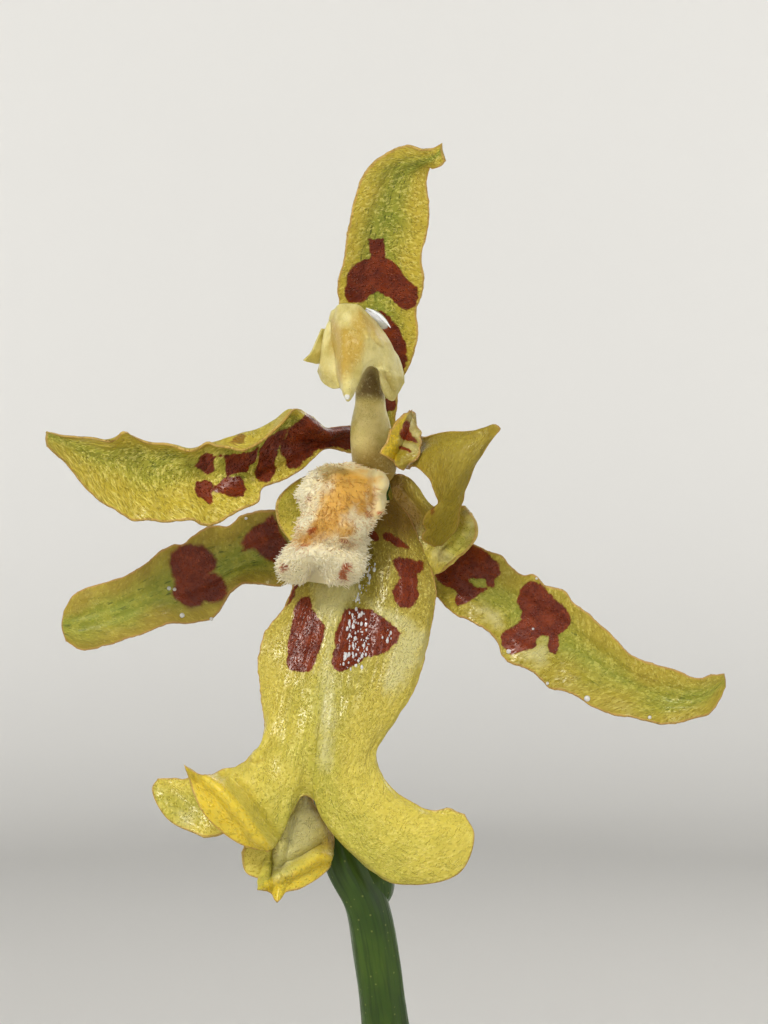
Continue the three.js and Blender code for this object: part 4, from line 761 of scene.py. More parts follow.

# Outlines of the markings, across and up in the view, some of them painted shade or light as said at each

MARKS = {
    "dorsal_sepal": {
        "spot": [
            [(-0.58, 9.88), (-0.02, 9.88), (0.04, 9.2), (0.34, 9.08), (0.68, 8.68), (0.94, 8.38),
             (1.24, 8.12), (1.28, 7.76), (1.12, 7.4), (0.84, 7.28), (0.58, 7.42), (0.34, 7.66),
             (-0.02, 7.84), (-0.28, 7.96), (-0.52, 7.84), (-0.68, 7.64), (-0.98, 7.56), (-1.28, 7.58),
             (-1.44, 7.78), (-1.4, 8.24), (-1.32, 8.62), (-1.16, 8.92), (-0.8, 9.12), (-0.56, 9.16)],
            [(-0.6, 7.06), (-0.14, 7.24), (0.28, 7.06), (0.6, 6.6), (0.82, 6.08), (0.88, 5.54),
             (0.72, 5.06), (0.52, 5.12), (0.34, 5.72), (-0.14, 6.56)],
            [(0, 4.1), (0.32, 4.18), (0.46, 3.96), (0.44, 3.68), (0.08, 3.6)],
        ],
    },
    "petal_left": {
        "spot": [
            [(-6.64, 2.08), (-6.38, 2.2), (-6.04, 2.06), (-6.14, 1.82), (-6.1, 1.52), (-6.38, 1.36),
             (-6.62, 1.52), (-6.82, 1.7), (-6.72, 1.88)],
            [(-6.76, 1.06), (-6.5, 1.18), (-6.2, 1.06), (-6.16, 0.8), (-6.2, 0.62), (-6.12, 0.32),
             (-6.26, 0.2), (-6.52, 0.34), (-6.74, 0.46), (-6.8, 0.74)],
            [(-6.02, 2.08), (-5.84, 2.14), (-5.18, 2.14), (-4.8, 2.2), (-4.58, 2.42), (-4.58, 2.06),
             (-4.6, 1.76), (-4.82, 1.64), (-4.92, 1.34), (-5.18, 1.4), (-5.48, 1.34), (-5.64, 1.24),
             (-5.72, 1.52), (-5.72, 1.82), (-5.78, 2)],
            [(-6.16, 0.8), (-5.84, 1.12), (-5.66, 1.26), (-5.18, 1.26), (-5, 1.06), (-4.92, 0.74),
             (-5.06, 0.5), (-5.3, 0.44), (-5.6, 0.5), (-5.84, 0.58), (-6.08, 0.66)],
            [(-4.52, 2.3), (-4.22, 2.66), (-3.74, 3.02), (-3.44, 3.08), (-3.56, 2.84), (-3.84, 2.3),
             (-3.92, 1.82), (-3.94, 1.4), (-4.1, 1.06), (-4.46, 1.06), (-4.68, 1.28), (-4.58, 1.64),
             (-4.52, 1.94)],
            [(-3.72, 2.54), (-3.44, 2.9), (-3.2, 3.26), (-2.78, 3.56), (-2.42, 3.2), (-2.18, 2.96),
             (-1.82, 3.08), (-1.36, 3.16), (-1.04, 3.14), (-0.68, 3.02), (-0.68, 2.18), (-1.28, 2.24),
             (-1.82, 2.3), (-2.3, 2.24), (-2.66, 2), (-2.9, 1.76), (-3.08, 1.52), (-3.44, 1.52),
             (-3.56, 1.64), (-3.56, 1.88), (-3.74, 2.06), (-3.76, 2.3)],
            [(-5.66, 2.42), (-5.18, 2.7), (-4.94, 2.68), (-5.04, 2.42), (-5.3, 2.34)],
        ],
    },
    "petal_right_flap": {
        "spot": [
            [(0.7, 3.34), (0.84, 3.28), (0.86, 3.06), (0.98, 2.8), (1.24, 2.48), (1.1, 2.42),
             (0.84, 2.46), (0.66, 2.52), (0.48, 2.64), (0.48, 2.82), (0.6, 3.06)],
            [(0.48, 2.36), (0.58, 2.42), (0.8, 2.28), (1.04, 2.12), (0.98, 2.08), (0.74, 2.18),
             (0.5, 2.26)],
        ],
        "yellow": [
            [(0.96, 3.72), (0.52, 3.38), (0.06, 2.74), (-0.2, 2.08), (0.48, 1.82), (0.52, 2.08),
             (0.44, 2.28), (0.48, 2.48), (0.42, 2.74), (0.6, 3.1), (0.78, 3.46)],
        ],
        "pale": [
            [(0.88, 3.46), (1.04, 3.62), (1.12, 3), (1.28, 2.74), (1.46, 2.6), (1.24, 2.48),
             (0.98, 2.82), (0.92, 3.1)],
            [(0.52, 2.5), (0.78, 2.42), (1.14, 2.36), (1.28, 2.26), (1.1, 2.18), (0.78, 2.34)],
        ],
    },
    "petal_right": {
        "spot": [
            [(1.68, 0.74), (1.82, 0.64), (1.92, 0.32), (1.88, 0.02), (1.76, -0.06), (1.68, 0.12),
             (1.7, 0.44)],
        ],
    },
    "sepal_left": {
        "spot": [
            [(-7.7, -1.5), (-7.44, -1.26), (-6.98, -1.14), (-6.54, -1.18), (-6.22, -1.42),
             (-6.02, -1.72), (-6.08, -2.04), (-6.28, -2.2), (-6.08, -2.2), (-5.82, -2.32),
             (-5.62, -2.62), (-5.64, -2.98), (-5.82, -3.22), (-6.08, -3.3), (-6.44, -3.26),
             (-6.62, -3.4), (-6.94, -3.48), (-7.26, -3.34), (-7.52, -3.16), (-7.62, -2.94),
             (-7.56, -2.68), (-7.52, -2.44), (-7.64, -2.14), (-7.74, -1.82)],
            [(-5.14, -1.06), (-5, -0.74), (-4.74, -0.52), (-4.38, -0.34), (-4.02, -0.06), (-3.88, -0.24),
             (-3.7, -0.64), (-3.48, -1), (-3.3, -1.36), (-3.48, -1.68), (-3.74, -1.72), (-3.88, -1.86),
             (-4.2, -1.78), (-4.42, -1.6), (-4.64, -1.32), (-4.92, -1.32), (-5.16, -1.42),
             (-5.04, -1.24)],
        ],
    },
    "sepal_right": {
        "spot": [
            [(2.2, -1.12), (2.68, -1), (3.22, -1.1), (3.7, -1.4), (4.14, -1.84), (4.24, -2.2),
             (4.02, -2.38), (4.02, -2.74), (3.76, -2.68), (3.62, -2.42), (3.28, -2.36), (3.02, -2.44),
             (3.28, -2.68), (3.76, -2.74), (3.46, -2.98), (3.04, -3.28), (2.68, -3.4), (2.58, -3.16),
             (2.68, -2.9), (2.26, -2.68), (1.96, -2.44), (1.84, -1.84)],
            [(5.2, -2.5), (5.62, -2.5), (5.86, -2.86), (6.28, -3.16), (6.64, -3.52), (6.76, -3.88),
             (6.58, -4.24), (6.28, -4.42), (6.34, -4.78), (6.16, -5.14), (5.92, -5.08), (5.86, -4.76),
             (5.94, -4.52), (5.7, -4.48), (5.48, -4.68), (5.44, -4.9), (5.08, -5.08), (4.6, -5.14),
             (4.3, -4.9), (4.18, -4.42), (4.36, -4.3), (4.78, -4.06), (4.96, -3.88), (4.96, -3.58),
             (4.82, -3.22), (4.9, -2.74)],
        ],
        "pale": [
            # The first of these pale outlines is painted sheen: the whitish shine of a wet patch
            [(5.02, -5.12), (5.44, -4.84), (5.62, -4.6), (5.94, -4.48), (6.02, -4.58), (5.92, -4.82),
             (5.98, -5.12), (5.86, -5.44), (5.56, -5.48), (5.14, -5.32)],
            [(3.28, -3.5), (3.7, -3.46), (4.18, -3.88), (4.26, -4.12), (3.94, -4), (3.46, -3.76)],
        ],
    },
    "lip": {
        "spot": [
            [(-3.18, -3.52), (-3.02, -3.16), (-2.76, -3.04), (-2.62, -3.16), (-2.52, -3.62),
             (-2.22, -3.98), (-2.1, -4.2), (-2.16, -4.6), (-2.26, -4.96), (-2.48, -5.5), (-2.66, -5.82),
             (-3.06, -5.82), (-3.38, -5.68), (-3.5, -5.42), (-3.42, -4.78), (-3.3, -4.06)],
            [(-3.52, -3.46), (-3.34, -2.9), (-3.16, -2.54), (-3, -2.52), (-3.18, -2.98), (-3.34, -3.32)],
            [(-1.44, -3.58), (-1.22, -3.52), (-0.5, -3.52), (-0.14, -3.76), (0.3, -4.12), (0.62, -4.38),
             (0.44, -4.74), (0.12, -5.06), (-0.28, -5.24), (-0.64, -5.24), (-0.86, -5.5), (-1.22, -5.68),
             (-1.58, -5.82), (-1.8, -5.68), (-1.86, -5.32), (-1.76, -4.78), (-1.72, -4.24),
             (-1.58, -3.98)],
            [(0.26, -1.78), (0.4, -1.68), (0.76, -1.72), (1.12, -1.78), (1.44, -1.82), (1.38, -2.08),
             (1.16, -2.36), (1.2, -2.72), (1.22, -3.04), (1.12, -3.34), (0.84, -3.52), (0.58, -3.48),
             (0.32, -3.22), (0.28, -2.9), (0.4, -2.62), (0.58, -2.44), (0.48, -2.18), (0.32, -2)],
            [(-0.04, -0.8), (0.22, -0.82), (0.58, -1.06), (0.82, -1.24), (0.82, -1.4), (0.54, -1.34),
             (0.22, -1.2), (0.04, -1.02)],
            [(-0.44, -0.54), (-0.24, -0.78), (-0.08, -1.06), (-0.32, -1.08), (-0.48, -0.94)],
        ],
        "pale": [
            [(-2.58, -2.62), (-1.4, -2.36), (-0.96, -2.44), (-0.86, -2.98), (-1.32, -3.44),
             (-1.66, -3.8), (-1.78, -4.42), (-1.88, -4.96), (-1.84, -5.78), (-1.76, -6.76),
             (-1.84, -8.02), (-2.02, -9.28), (-2.22, -9.28), (-2.32, -8.02), (-2.34, -6.76),
             (-2.22, -5.86), (-2.08, -4.96), (-2.04, -4.24), (-2.48, -3.52)],
            [(-0.68, -3.16), (-0.32, -3.52), (-0.06, -3.8), (0.58, -4.42), (0.22, -5.24), (-0.14, -6.22),
             (0.22, -6.76), (0.58, -6.22), (1.3, -5.32), (1.48, -4.42), (0.76, -3.88), (-0.14, -3.44)],
        ],
        # Painted shade over the lip's base right of the callus, partly the translucent brownish yellow of the
        # tissue
        "amber": [
            [(-0.32, 0.52), (0.4, 1.6), (0.76, 1.34), (1.12, 0.52), (1.62, 0.08), (1.52, -0.64),
             (1.12, -0.82), (0.76, -1.1), (-0.14, -0.74), (-0.68, -0.82), (-0.96, 0.08)],
        ],
        "wet": [
            [(-0.32, -1.46), (-0.28, -1.9), (-0.6, -2.8), (-0.96, -3.44), (-0.68, -3.7), (-0.6, -4.24),
             (-0.5, -4.78), (-0.78, -5.6), (-1.32, -5.78), (-1.68, -5.6), (-1.4, -4.78), (-1.32, -4.06),
             (-1.22, -3.52), (-0.96, -2.8), (-0.68, -2.08), (-0.5, -1.54)],
            [(-0.06, -4.34), (0.22, -4.24), (0.26, -4.6), (0, -4.74)],
        ],
        # The strip along the left lobe: its deeper yellow is partly painted light on the face turned to the
        # light
        "yellow": [
            [(-7.2, -8.92), (-6.38, -9.4), (-5.76, -9.94), (-5.12, -10.72), (-4.54, -11.56),
             (-4.04, -12.2), (-4.54, -12.38), (-5.04, -12.2), (-5.84, -11.66), (-6.66, -11.02),
             (-6.74, -10.18), (-7.06, -9.72), (-7.48, -9.28)],
        ],
    },
    "lip_fold": {
        "pale": [
            [(-2.96, -10.36), (-3.6, -11.3), (-3.88, -12.16), (-3.96, -13.24), (-3.32, -12.82),
             (-2.6, -12.24), (-2.38, -11.62), (-2.52, -10.9)],
        ],
        # The curled edge of the folded foot: deeper yellow, partly painted light on its lit face
        "yellow": [
            [(-4.32, -13.4), (-3.6, -13.1), (-2.96, -12.78), (-2.24, -12.28), (-1.8, -12.52),
             (-1.94, -12.96), (-2.88, -13.68), (-3.82, -14.18), (-4.68, -13.72)],
        ],
        # Painted shade in the hollow at the top of the folded foot
        "amber": [
            [(-3.02, -10), (-2.6, -10.08), (-1.94, -10.9), (-1.4, -11.98), (-1.76, -12.38),
             (-2.38, -12.16), (-2.24, -11.44), (-2.66, -10.66)],
        ],
    },
    "lip_back": {
        "pale": [
            [(-7.3, -10.8), (-7.12, -10.98), (-6.92, -10.8), (-6.92, -11.08), (-7.06, -11.3),
             (-7.34, -11.24)],
        ],
    },
    "lip_ear": {
        "pale": [
            [(2.86, 0.22), (3.04, 0.2), (3.22, -0.04), (3.28, -0.34), (3.2, -0.76), (3.04, -0.9),
             (3.1, -0.6), (3.04, -0.18), (2.9, -0.04)],
            [(1.92, -1.32), (2.18, -1.26), (2.58, -1.62), (2.38, -1.84), (1.96, -1.78)],
        ],
        # Painted shade over the foot of the ear, the same outline as on the lip
        "amber": [
            [(-0.32, 0.52), (0.4, 1.6), (0.76, 1.34), (1.12, 0.52), (1.62, 0.08), (1.52, -0.64),
             (1.12, -0.82), (0.76, -1.1), (-0.14, -0.74), (-0.68, -0.82), (-0.96, 0.08)],
        ],
    },
    "column": {
        # Painted shade in the hollow under the hood
        "cavity": [
            [(-1.16, 4.08), (-1.04, 4.4), (-0.9, 4.8), (-0.72, 5.12), (-0.54, 5.26), (-0.28, 5.24),
             (-0.06, 4.76), (0.12, 4.22), (0.1, 3.98), (-0.5, 4.04), (-1.04, 4.06)],
        ],
        # Painted shade at the foot of the column
        "amber": [
            [(-1.94, 2.16), (-0.8, 2.16), (0.04, 2.38), (0.58, 2.06), (1, 0.44), (-1.94, 0.44)],
        ],
        "yellow": [
            [(-1.86, 6.74), (-1.72, 6.86), (-1.5, 6.64), (-1.18, 6.46), (-0.86, 6.26), (-0.76, 6.28),
             (-0.6, 6.42), (-0.32, 6.14), (-0.1, 6.06), (0.04, 6.02), (-0.1, 6.32), (-0.32, 6.64),
             (-0.68, 7), (-0.96, 7.18), (-1.22, 6.82), (-1.22, 6.32), (-0.82, 6.14), (-0.78, 5.92),
             (-0.86, 5.56), (-1.18, 5.3), (-1.4, 4.66), (-1.62, 4.94), (-1.72, 5.56)],
        ],
    },
    "callus": {
        "orange": [
            [(-1.88, 1.52), (-1.22, 1.58), (-0.62, 1.34), (-0.32, 1.28), (-0.38, 0.86), (-0.5, 0.26),
             (-0.56, -0.22), (-0.74, -0.16), (-1.1, 0.02), (-1.34, -0.22), (-1.22, -0.76),
             (-1.46, -1.06), (-1.88, -0.94), (-2.48, -0.82), (-2.84, -1.18), (-3.02, -1.06),
             (-2.72, -0.52), (-2.42, 0.02), (-2.06, 0.68), (-2.06, 1.16)],
        ],
        "rust": [
            [(-1.46, -1.82), (-1.26, -1.82), (-1.26, -2.02), (-1.4, -2.14), (-1.38, -2.42),
             (-1.58, -2.48), (-1.62, -2.24), (-1.52, -2.02)],
            [(-3.18, 0.52), (-3.02, 0.46), (-3.06, 0.32), (-3.2, 0.38)],
            [(-2.76, 0.56), (-2.6, 0.52), (-2.66, 0.34), (-2.74, 0.4)],
            [(-0.72, 0.14), (-0.56, 0.02), (-0.54, -0.22), (-0.66, -0.22)],
            [(-0.26, 0.04), (-0.06, 0.02), (-0.12, -0.14), (-0.26, -0.1)],
            [(-3.62, -1.9), (-3.44, -1.94), (-3.5, -2.14), (-3.6, -2.08)],
            [(-2.78, -0.58), (-2.42, -0.52), (-2.48, -0.74), (-2.72, -0.82)],
            [(-1.58, -0.94), (-1.28, -1), (-1.34, -1.12), (-1.58, -1.1)],
            [(-2.96, -1.18), (-2.72, -1.16), (-2.78, -1.24), (-2.94, -1.28)],
        ],
        "grey": [
            [(-2.42, 1.46), (-2.06, 1.7), (-1.58, 1.7), (-1.1, 1.52), (-1.82, 1.4), (-2.06, 1.22),
             (-2.3, 1.28)],
        ],
        "bare": [
            [(-0.32, 1.52), (0.34, 1.46), (0.4, 0.86), (0.1, 0.08), (-0.26, -0.34), (-0.44, -0.22),
             (-0.26, 0.56)],
            [(-2.48, 1.7), (-1.1, 1.64), (-0.26, 1.58), (-0.14, 0.86), (-0.86, 1.1), (-1.82, 1.46),
             (-2.3, 1.4)],
        ],
    },
}

# Folds of the sheets: a line in the view, its height towards the viewer and its width

FOLDS = {
    "lip": [
        ([(-7.12, -9.14), (-6.44, -9.46), (-5.84, -10), (-5.18, -10.8), (-4.6, -11.62), (-4.1, -12.2)],
         0.6, 0.2),
        ([(-5.72, -9.46), (-5, -10.18), (-4.4, -11.08), (-3.82, -12.02)], -0.4, 0.28),
        ([(-4.96, -8.64), (-4.76, -8.56), (-4.54, -8.82)], 0.3, 0.2),
        ([(-4.9, -9.22), (-4.4, -8.86), (-4.04, -8.5)], -0.2, 0.22),
        ([(-2.92, -10.36), (-2.24, -11.08), (-1.4, -11.98), (-0.44, -12.82), (0.4, -13.32)], 0.2, 0.25),
        ([(-1.4, -9.72), (0.04, -11.02), (1.66, -11.88)], 0.14, 0.8),
        ([(-0.22, -9.28), (0.58, -10.3), (1.72, -10.8), (2.8, -11.02)], -0.16, 0.3),
        ([(-3.32, -6.76), (-3.6, -8.2), (-4.18, -9.46)], -0.14, 0.35),
        ([(-1.4, -6.76), (-1.58, -8.38), (-1.22, -9.46)], -0.1, 0.4),
    ],
    "lip_fold": [
        ([(-4.46, -13.54), (-3.68, -13.1), (-3.02, -12.82), (-2.38, -12.38), (-2.02, -12.46)], 0.35, 0.14),
        ([(-3.74, -12.74), (-3.02, -12.38), (-2.38, -11.98)], -0.25, 0.2),
        ([(-3.88, -11.44), (-4, -12.16), (-4.06, -13.24)], -0.35, 0.12),
        ([(-3.6, -11.38), (-3.78, -12.16), (-3.88, -12.82)], 0.2, 0.14),
    ],
    "lip_back": [
        ([(-7.7, -10), (-6.8, -10.54), (-6.08, -10.9)], -0.25, 0.5),
    ],
    "lip_ear": [
        ([(2.3, -1.4), (2.62, -1.08), (2.92, -0.64), (3.06, -0.1)], 0.5, 0.2),
        ([(1.94, -1.18), (2.24, -0.94), (2.56, -0.54), (2.7, -0.1)], -0.5, 0.2),
        ([(1, 0.9), (1.44, 0.44), (1.72, 0)], 0.2, 0.18),
    ],
    "hood": [
        ([(-1.84, 6.84), (-1.7, 6.02), (-1.62, 5.12), (-1.48, 4.46)], -0.22, 0.08),
        ([(-1.4, 7.2), (-1.4, 6.02), (-1.34, 4.94), (-1.3, 4.18)], 0.1, 0.16),
        ([(-1.16, 6.44), (-0.8, 6.26), (-0.58, 6.4), (-0.28, 6.16), (0, 6.04)], 0.07, 0.08),
        ([(-0.44, 6.4), (-0.18, 6.04)], 0.08, 0.06),
        ([(-0.72, 6.56), (-0.62, 6.26)], 0.08, 0.06),
        ([(-0.14, 5.12), (0.28, 4.9), (0.72, 4.72)], 0.12, 0.1),
        ([(0, 4.9), (0.22, 4.4)], -0.14, 0.12),
    ],
    "flap": [
        ([(0.44, 2.56), (0.8, 2.38), (1.16, 2.24)], 0.09, 0.07),
        ([(0.98, 3.56), (1.04, 3.16), (1.22, 2.74)], 0.08, 0.08),
        ([(0.5, 2.16), (0.76, 1.94)], -0.08, 0.1),
    ],
    "petal": [
        ([(2.7, -0.14), (2.48, -0.58), (2.16, -0.94)], 0.12, 0.2),
        ([(2.3, 0.26), (2.12, -0.46), (1.9, -1)], -0.2, 0.3),
        ([(1.48, 2.24), (2.02, 1.52), (2.26, 0.62)], -0.12, 0.35),
    ],
    "callus": [
        ([(-2.2, 1.58), (-2.42, 0.8), (-2.8, -0.08)], -0.35, 0.2),
        ([(-0.32, 1.36), (-0.4, 0.62), (-0.46, -0.14)], -0.35, 0.16),
        ([(-3.16, -1.04), (-2.12, -1.22), (-1.4, -1.16), (-0.8, -0.94)], -0.3, 0.2),
        ([(-3.56, -1.8), (-2.66, -1.66), (-1.76, -1.7), (-1.04, -1.8)], 0.3, 0.4),
        ([(-1.76, 1.16), (-1.4, 0.44), (-1.22, -0.1)], 0.2, 0.35),
        ([(-3.02, -0.46), (-2.12, -0.46), (-1.22, -0.58)], 0.18, 0.3),
    ],
}

# Sizes shared with the solids, in millimetres

POT_HEIGHT = 54.0
POT_FOOT_RADIUS = 21.0
POT_TOP_RADIUS = 29.0
POT_WALL = 3.0
POT_FLOOR = 4.0
RIM_HEIGHT = 12.0
RIM_STEP = 2.0
DRAIN_RADIUS = 2.6
DRAIN_RING = 11.0
MEDIUM_TOP = 46.0
CLEARANCE = 0.3
GOLDEN_ANGLE = 2.39996

BULB_FOOT = 49.0
BULB_PROFILE = [(0, 0.42), (0.06, 0.66), (0.2, 0.93), (0.36, 1), (0.55, 0.93), (0.72, 0.76), (0.86, 0.52),
                (0.95, 0.33), (1, 0.22)]
# Where each pseudobulb stands, its height, half width and half depth, its turn and its lean
BULBS = {
    "pseudobulb_front": (5, -8, 27, 8.4, 5, 0.35, (0.04, 0.02)),
    "pseudobulb_middle": (-1.4, 3.2, 24, 7.6, 4.5, 0.5, (-0.06, 0.04)),
    "pseudobulb_back": (-8.6, 13.4, 20, 6.2, 3.8, 0.62, (-0.08, 0.06)),
}
# Half width, how far the halves fold up at the foot and at the tip, and the keel
LEAVES = {
    "leaf_front_right": (6.2, (0.95, 0.35), [
        (6.9, -7.5, 74.9), (7.9, -7.6, 76.3), (12, -7, 83), (20, -5, 91), (29.5, -2, 99),
        (38.5, 2, 103.5), (46.5, 5, 103)]),
    "leaf_front_left": (5.8, (0.95, 0.3), [
        (5.2, -7.2, 74.9), (4.1, -6.9, 76.3), (0, -3.6, 81.4), (-8, 1, 86), (-19, 6, 90.6),
        (-30, 10, 93.4), (-40, 13, 91.5)]),
    "leaf_middle_left": (6, (0.95, 0.3), [
        (-3.9, 3.5, 71.9), (-4.7, 3.1, 73.3), (-9, 1.6, 80), (-17, -1.6, 86), (-27, -5.5, 89.4),
        (-36.5, -10, 88.4), (-44.5, -14, 83.4)]),
    "leaf_middle_right": (6, (0.95, 0.3), [
        (-2.2, 4.7, 71.9), (-1.4, 5.4, 73.3), (2, 9.6, 79.6), (7.6, 17, 85.6), (15, 25, 90),
        (23.5, 32, 90.4), (31, 37, 86.5)]),
    "leaf_back": (5.4, (0.95, 0.35), [
        (-9.9, 14.2, 68.0), (-10.4, 14.8, 69.4), (-13, 18.2, 76), (-18, 23.6, 83), (-25, 30, 87.4),
        (-32, 36, 87), (-38, 40.5, 82.5)]),
    "leaf_basal": (5.4, (0.95, 0.35), [
        (12.6, -5.0, 47.6), (14.6, -5.3, 51.4), (18, -6, 57), (23.5, -6.8, 65), (30.5, -8, 73.5),
        (38.5, -9.5, 79.5), (46, -11, 80)]),
}
# The pseudobulb each dry sheath wraps, the way it faces, and the share of its height that it reaches
SHEATHS = {
    "sheath_front_left": ("pseudobulb_front", 3.5, 0.62),
    "sheath_middle": ("pseudobulb_middle", 3.7, 0.55),
    "sheath_back": ("pseudobulb_back", 4.1, 0.5),
}
SHEATH_STANDOFF = 1.05
SHEATH_FOOT = 51.5
SHEATH_REACH = 1.15

SPIKE_PATH = [(8.4, -16.4, 47), (9.4, -17.6, 54), (12, -20, 66), (12.6, -22.6, 78), (9.8, -24, 86.8),
              (4.8, -23.9, 91.3), (0.5, -23.6, 92.5), (-4, -23.9, 92.3), (-8, -24.8, 90.5)]
SPIKE_RADII = (1.35, 0.95)
# Where each bract sits along the spike, its length and its half width
BRACTS = {"spike_bract_lower": (0.2, 8, 2.4), "spike_bract_middle": (0.5, 7, 2.1)}

RHIZOME_PATH = [(-11, 16.4, 46.6), (-7.6, 11.4, 46.3), (-2, 3.6, 46.2), (2, -3, 46.3), (7, -11, 46.6)]
RHIZOME_RADIUS = 2.0
ROOT_RADII = (1.1, 0.88)
ROOTS = [
    [(4, -6, 46.6), (-2, -12, 49.2), (-8, -16, 49.4), (-13, -16.4, 47.8), (-16.5, -13.6, 44)],
    [(3, -4, 46.4), (11, 1, 49), (17, 6, 49.6), (18, 12, 48.6), (14.4, 15.6, 44)],
    [(-5, 8, 46.4), (1, 13, 49), (3, 17.6, 49.2), (0.5, 20.4, 47.6), (-3.6, 20.6, 43.6)],
    [(-6, 9, 46.4), (-13, 4, 49), (-18.4, -1.6, 49), (-18.6, -7, 47.4), (-15.4, -8.6, 43.6)],
]
COLUMN_RADII = (0.7, 0.76, 0.76, 0.7, 0.53, 0.5, 0.55, 0.6, 0.45)
OVARY_AXIS = [(-1.1, -11.7, 0.5), (-0.7, -12.5, 0.1), (-0.42, -13.4, 0), (-0.25, -14.3, 0)]
OVARY_RADII = (0.6, 0.92, 0.86, 0.6)
PEDICEL_RADII = (0.86, 0.95, 0.95, 0.88, 0.84, 0.83, 0.83, 0.83, 0.85, 0.88, 0.9, 0.92)

# Callus rows from its top to its foot: up, left edge, right edge, front depth
CALLUS_ROWS = np.array([
    (1.73, -2.15, -1.3, -1.2), (1.51, -2.5, -0.3, -1.9), (1.22, -2.75, 0.1, -2.5),
    (0.9, -2.95, 0.25, -2.9), (0.6, -3.1, 0.12, -3.2), (0.25, -3.05, 0.02, -3.4),
    (-0.04, -2.95, -0.1, -3.5), (-0.3, -3, -0.32, -3.55), (-0.65, -3.05, -0.5, -3.55),
    (-1, -3.15, -0.62, -3.5), (-1.3, -3.5, -0.76, -3.45), (-1.58, -3.7, -0.82, -3.35),
    (-1.84, -3.8, -0.82, -3.2), (-2.16, -3.72, -0.78, -3.05), (-2.42, -3.4, -1, -2.85),
    (-2.62, -2.8, -1.4, -2.6),
])
CALLUS_BACK = -0.9
CALLUS_HEART = (-1.8, -1.5, -0.5)


BARK_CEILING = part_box("bark_medium")[1].z / MM


# Pot and bark


def inside_radius(height):
    """The radius of the pot's inner wall at a height."""
    return POT_FOOT_RADIUS + (POT_TOP_RADIUS - POT_FOOT_RADIUS) * height / POT_HEIGHT - POT_WALL


def softened(profile, radius, step):
    """A profile with its corners rounded, as points about a step apart."""
    corners = np.array(profile, float)
    line = [corners[0]]
    for before, corner, after in zip(corners, corners[1:], corners[2:]):
        near, far = before - corner, after - corner
        reach = min(radius, np.linalg.norm(near) / 2.2, np.linalg.norm(far) / 2.2)
        start, end = corner + near / np.linalg.norm(near) * reach, corner + far / np.linalg.norm(far) * reach
        for share in (0, 0.25, 0.5, 0.75, 1):
            line.append((1 - share) ** 2 * start + 2 * share * (1 - share) * corner + share ** 2 * end)
    line.append(corners[-1])
    fine = [line[0]]
    for start, end in zip(line, line[1:]):
        count = max(1, int(np.linalg.norm(end - start) / step))
        fine += [start + (end - start) * (i + 1) / count for i in range(count)]
    return np.array(fine)


def turned(profile, sides):
    """The points and faces of a profile turned round the upright axis and closed at both ends."""
    angle = np.arange(sides) / sides * TURN
    points = np.stack([profile[:, :1] * np.cos(angle), profile[:, :1] * np.sin(angle),
                       profile[:, 1:] * np.ones(sides)], -1)
    caps = [np.arange(sides)[None], np.arange(sides)[None, ::-1] + (len(profile) - 1) * sides]
    return points, turned_out(points, [grid_faces(len(profile), sides, closed=True)[:, ::-1], *caps])


def clay_finish(clay, weathering):
    """Fired terracotta: mottled, gritty, chalky near its rim and foot, with a little green low down."""
    f = Finish("terracotta", Specular_IOR_Level=0.25)
    height = f.read("height")
    broad, patchy, fine = f.noise(0.06, 4), f.noise(0.16, 5, rough=0.65), f.noise(1.3, 4, rough=0.7)
    colour = f.blend(f.step(broad, 0.35, 0.65), clay, tone(205, 128, 84))
    colour = f.blend(f.step(patchy, 0.5, 0.72, 0, 0.7), colour, tone(150, 78, 48))
    colour = f.blend(f.step(fine, 0.55, 0.75, 0, 0.5), colour, tone(222, 160, 122))
    grit = f.cells(1.9)
    colour = f.blend(f.step(grit, 0.12, 0.05, 0, 0.55), colour, tone(96, 58, 42))
    low = f.step(height, 16, 2)
    high = f.step(height, 40, 53)
    chalk = f.maths("MAXIMUM", low, high) * weathering
    chalk = chalk * f.step(patchy + fine * 0.35, 0.62, 0.85)
    colour = f.blend(chalk, colour, tone(226, 214, 196))
    green = f.step(height, 24, 6) * f.step(broad, 0.52, 0.68, 0, 0.5)
    colour = f.blend(green, colour, tone(108, 112, 66))
    lines = f.noise(1.0, 2, f.stretched(f.grain, (0.02, 0.02, 1.6)))
    relief = lines * 0.6 + fine * 0.5
    relief = relief - f.step(grit, 0.16, 0.04, 0, 0.5)
    return f.done(colour, f.step(patchy, 0.2, 0.8, 0.78, 0.95), f.bump(relief, 0.22, 0.8))


def build_pot(settings):
    band_foot = POT_HEIGHT - RIM_HEIGHT
    band = POT_FOOT_RADIUS + (POT_TOP_RADIUS - POT_FOOT_RADIUS) * band_foot / POT_HEIGHT
    rim, hole = POT_TOP_RADIUS + RIM_STEP, inside_radius(POT_HEIGHT)
    profile = softened([
        (0.05, 0), (POT_FOOT_RADIUS, 0), (band, band_foot), (band + RIM_STEP, band_foot + 0.6),
        (rim, POT_HEIGHT), (hole, POT_HEIGHT), (inside_radius(POT_FLOOR), POT_FLOOR), (0.05, POT_FLOOR),
    ], 1.0, 0.8)
    points, faces = turned(profile, 168)
    dents = 0.12 * (rumple(points, 9, 3) - 1) + 0.05 * (rumple(points, 2.2, 4) - 1)
    rings = 0.05 * (np.sin(points[..., 2] * 2.1) - 1)
    shrink = 1 + (dents + rings) / np.maximum(np.linalg.norm(points[..., :2], axis=-1), 8)
    points[..., :2] *= shrink[..., None]
    shape = Shape().add(points, faces, grain=points, height=points[..., 2])
    piece = shape.placed("pot", clay_finish(settings.clay, settings.weathering), ["pot"], "terracotta")
    for turn in (0.5, 1.5, 2.5, 3.5):
        pierce(piece, turn * TURN / 4)


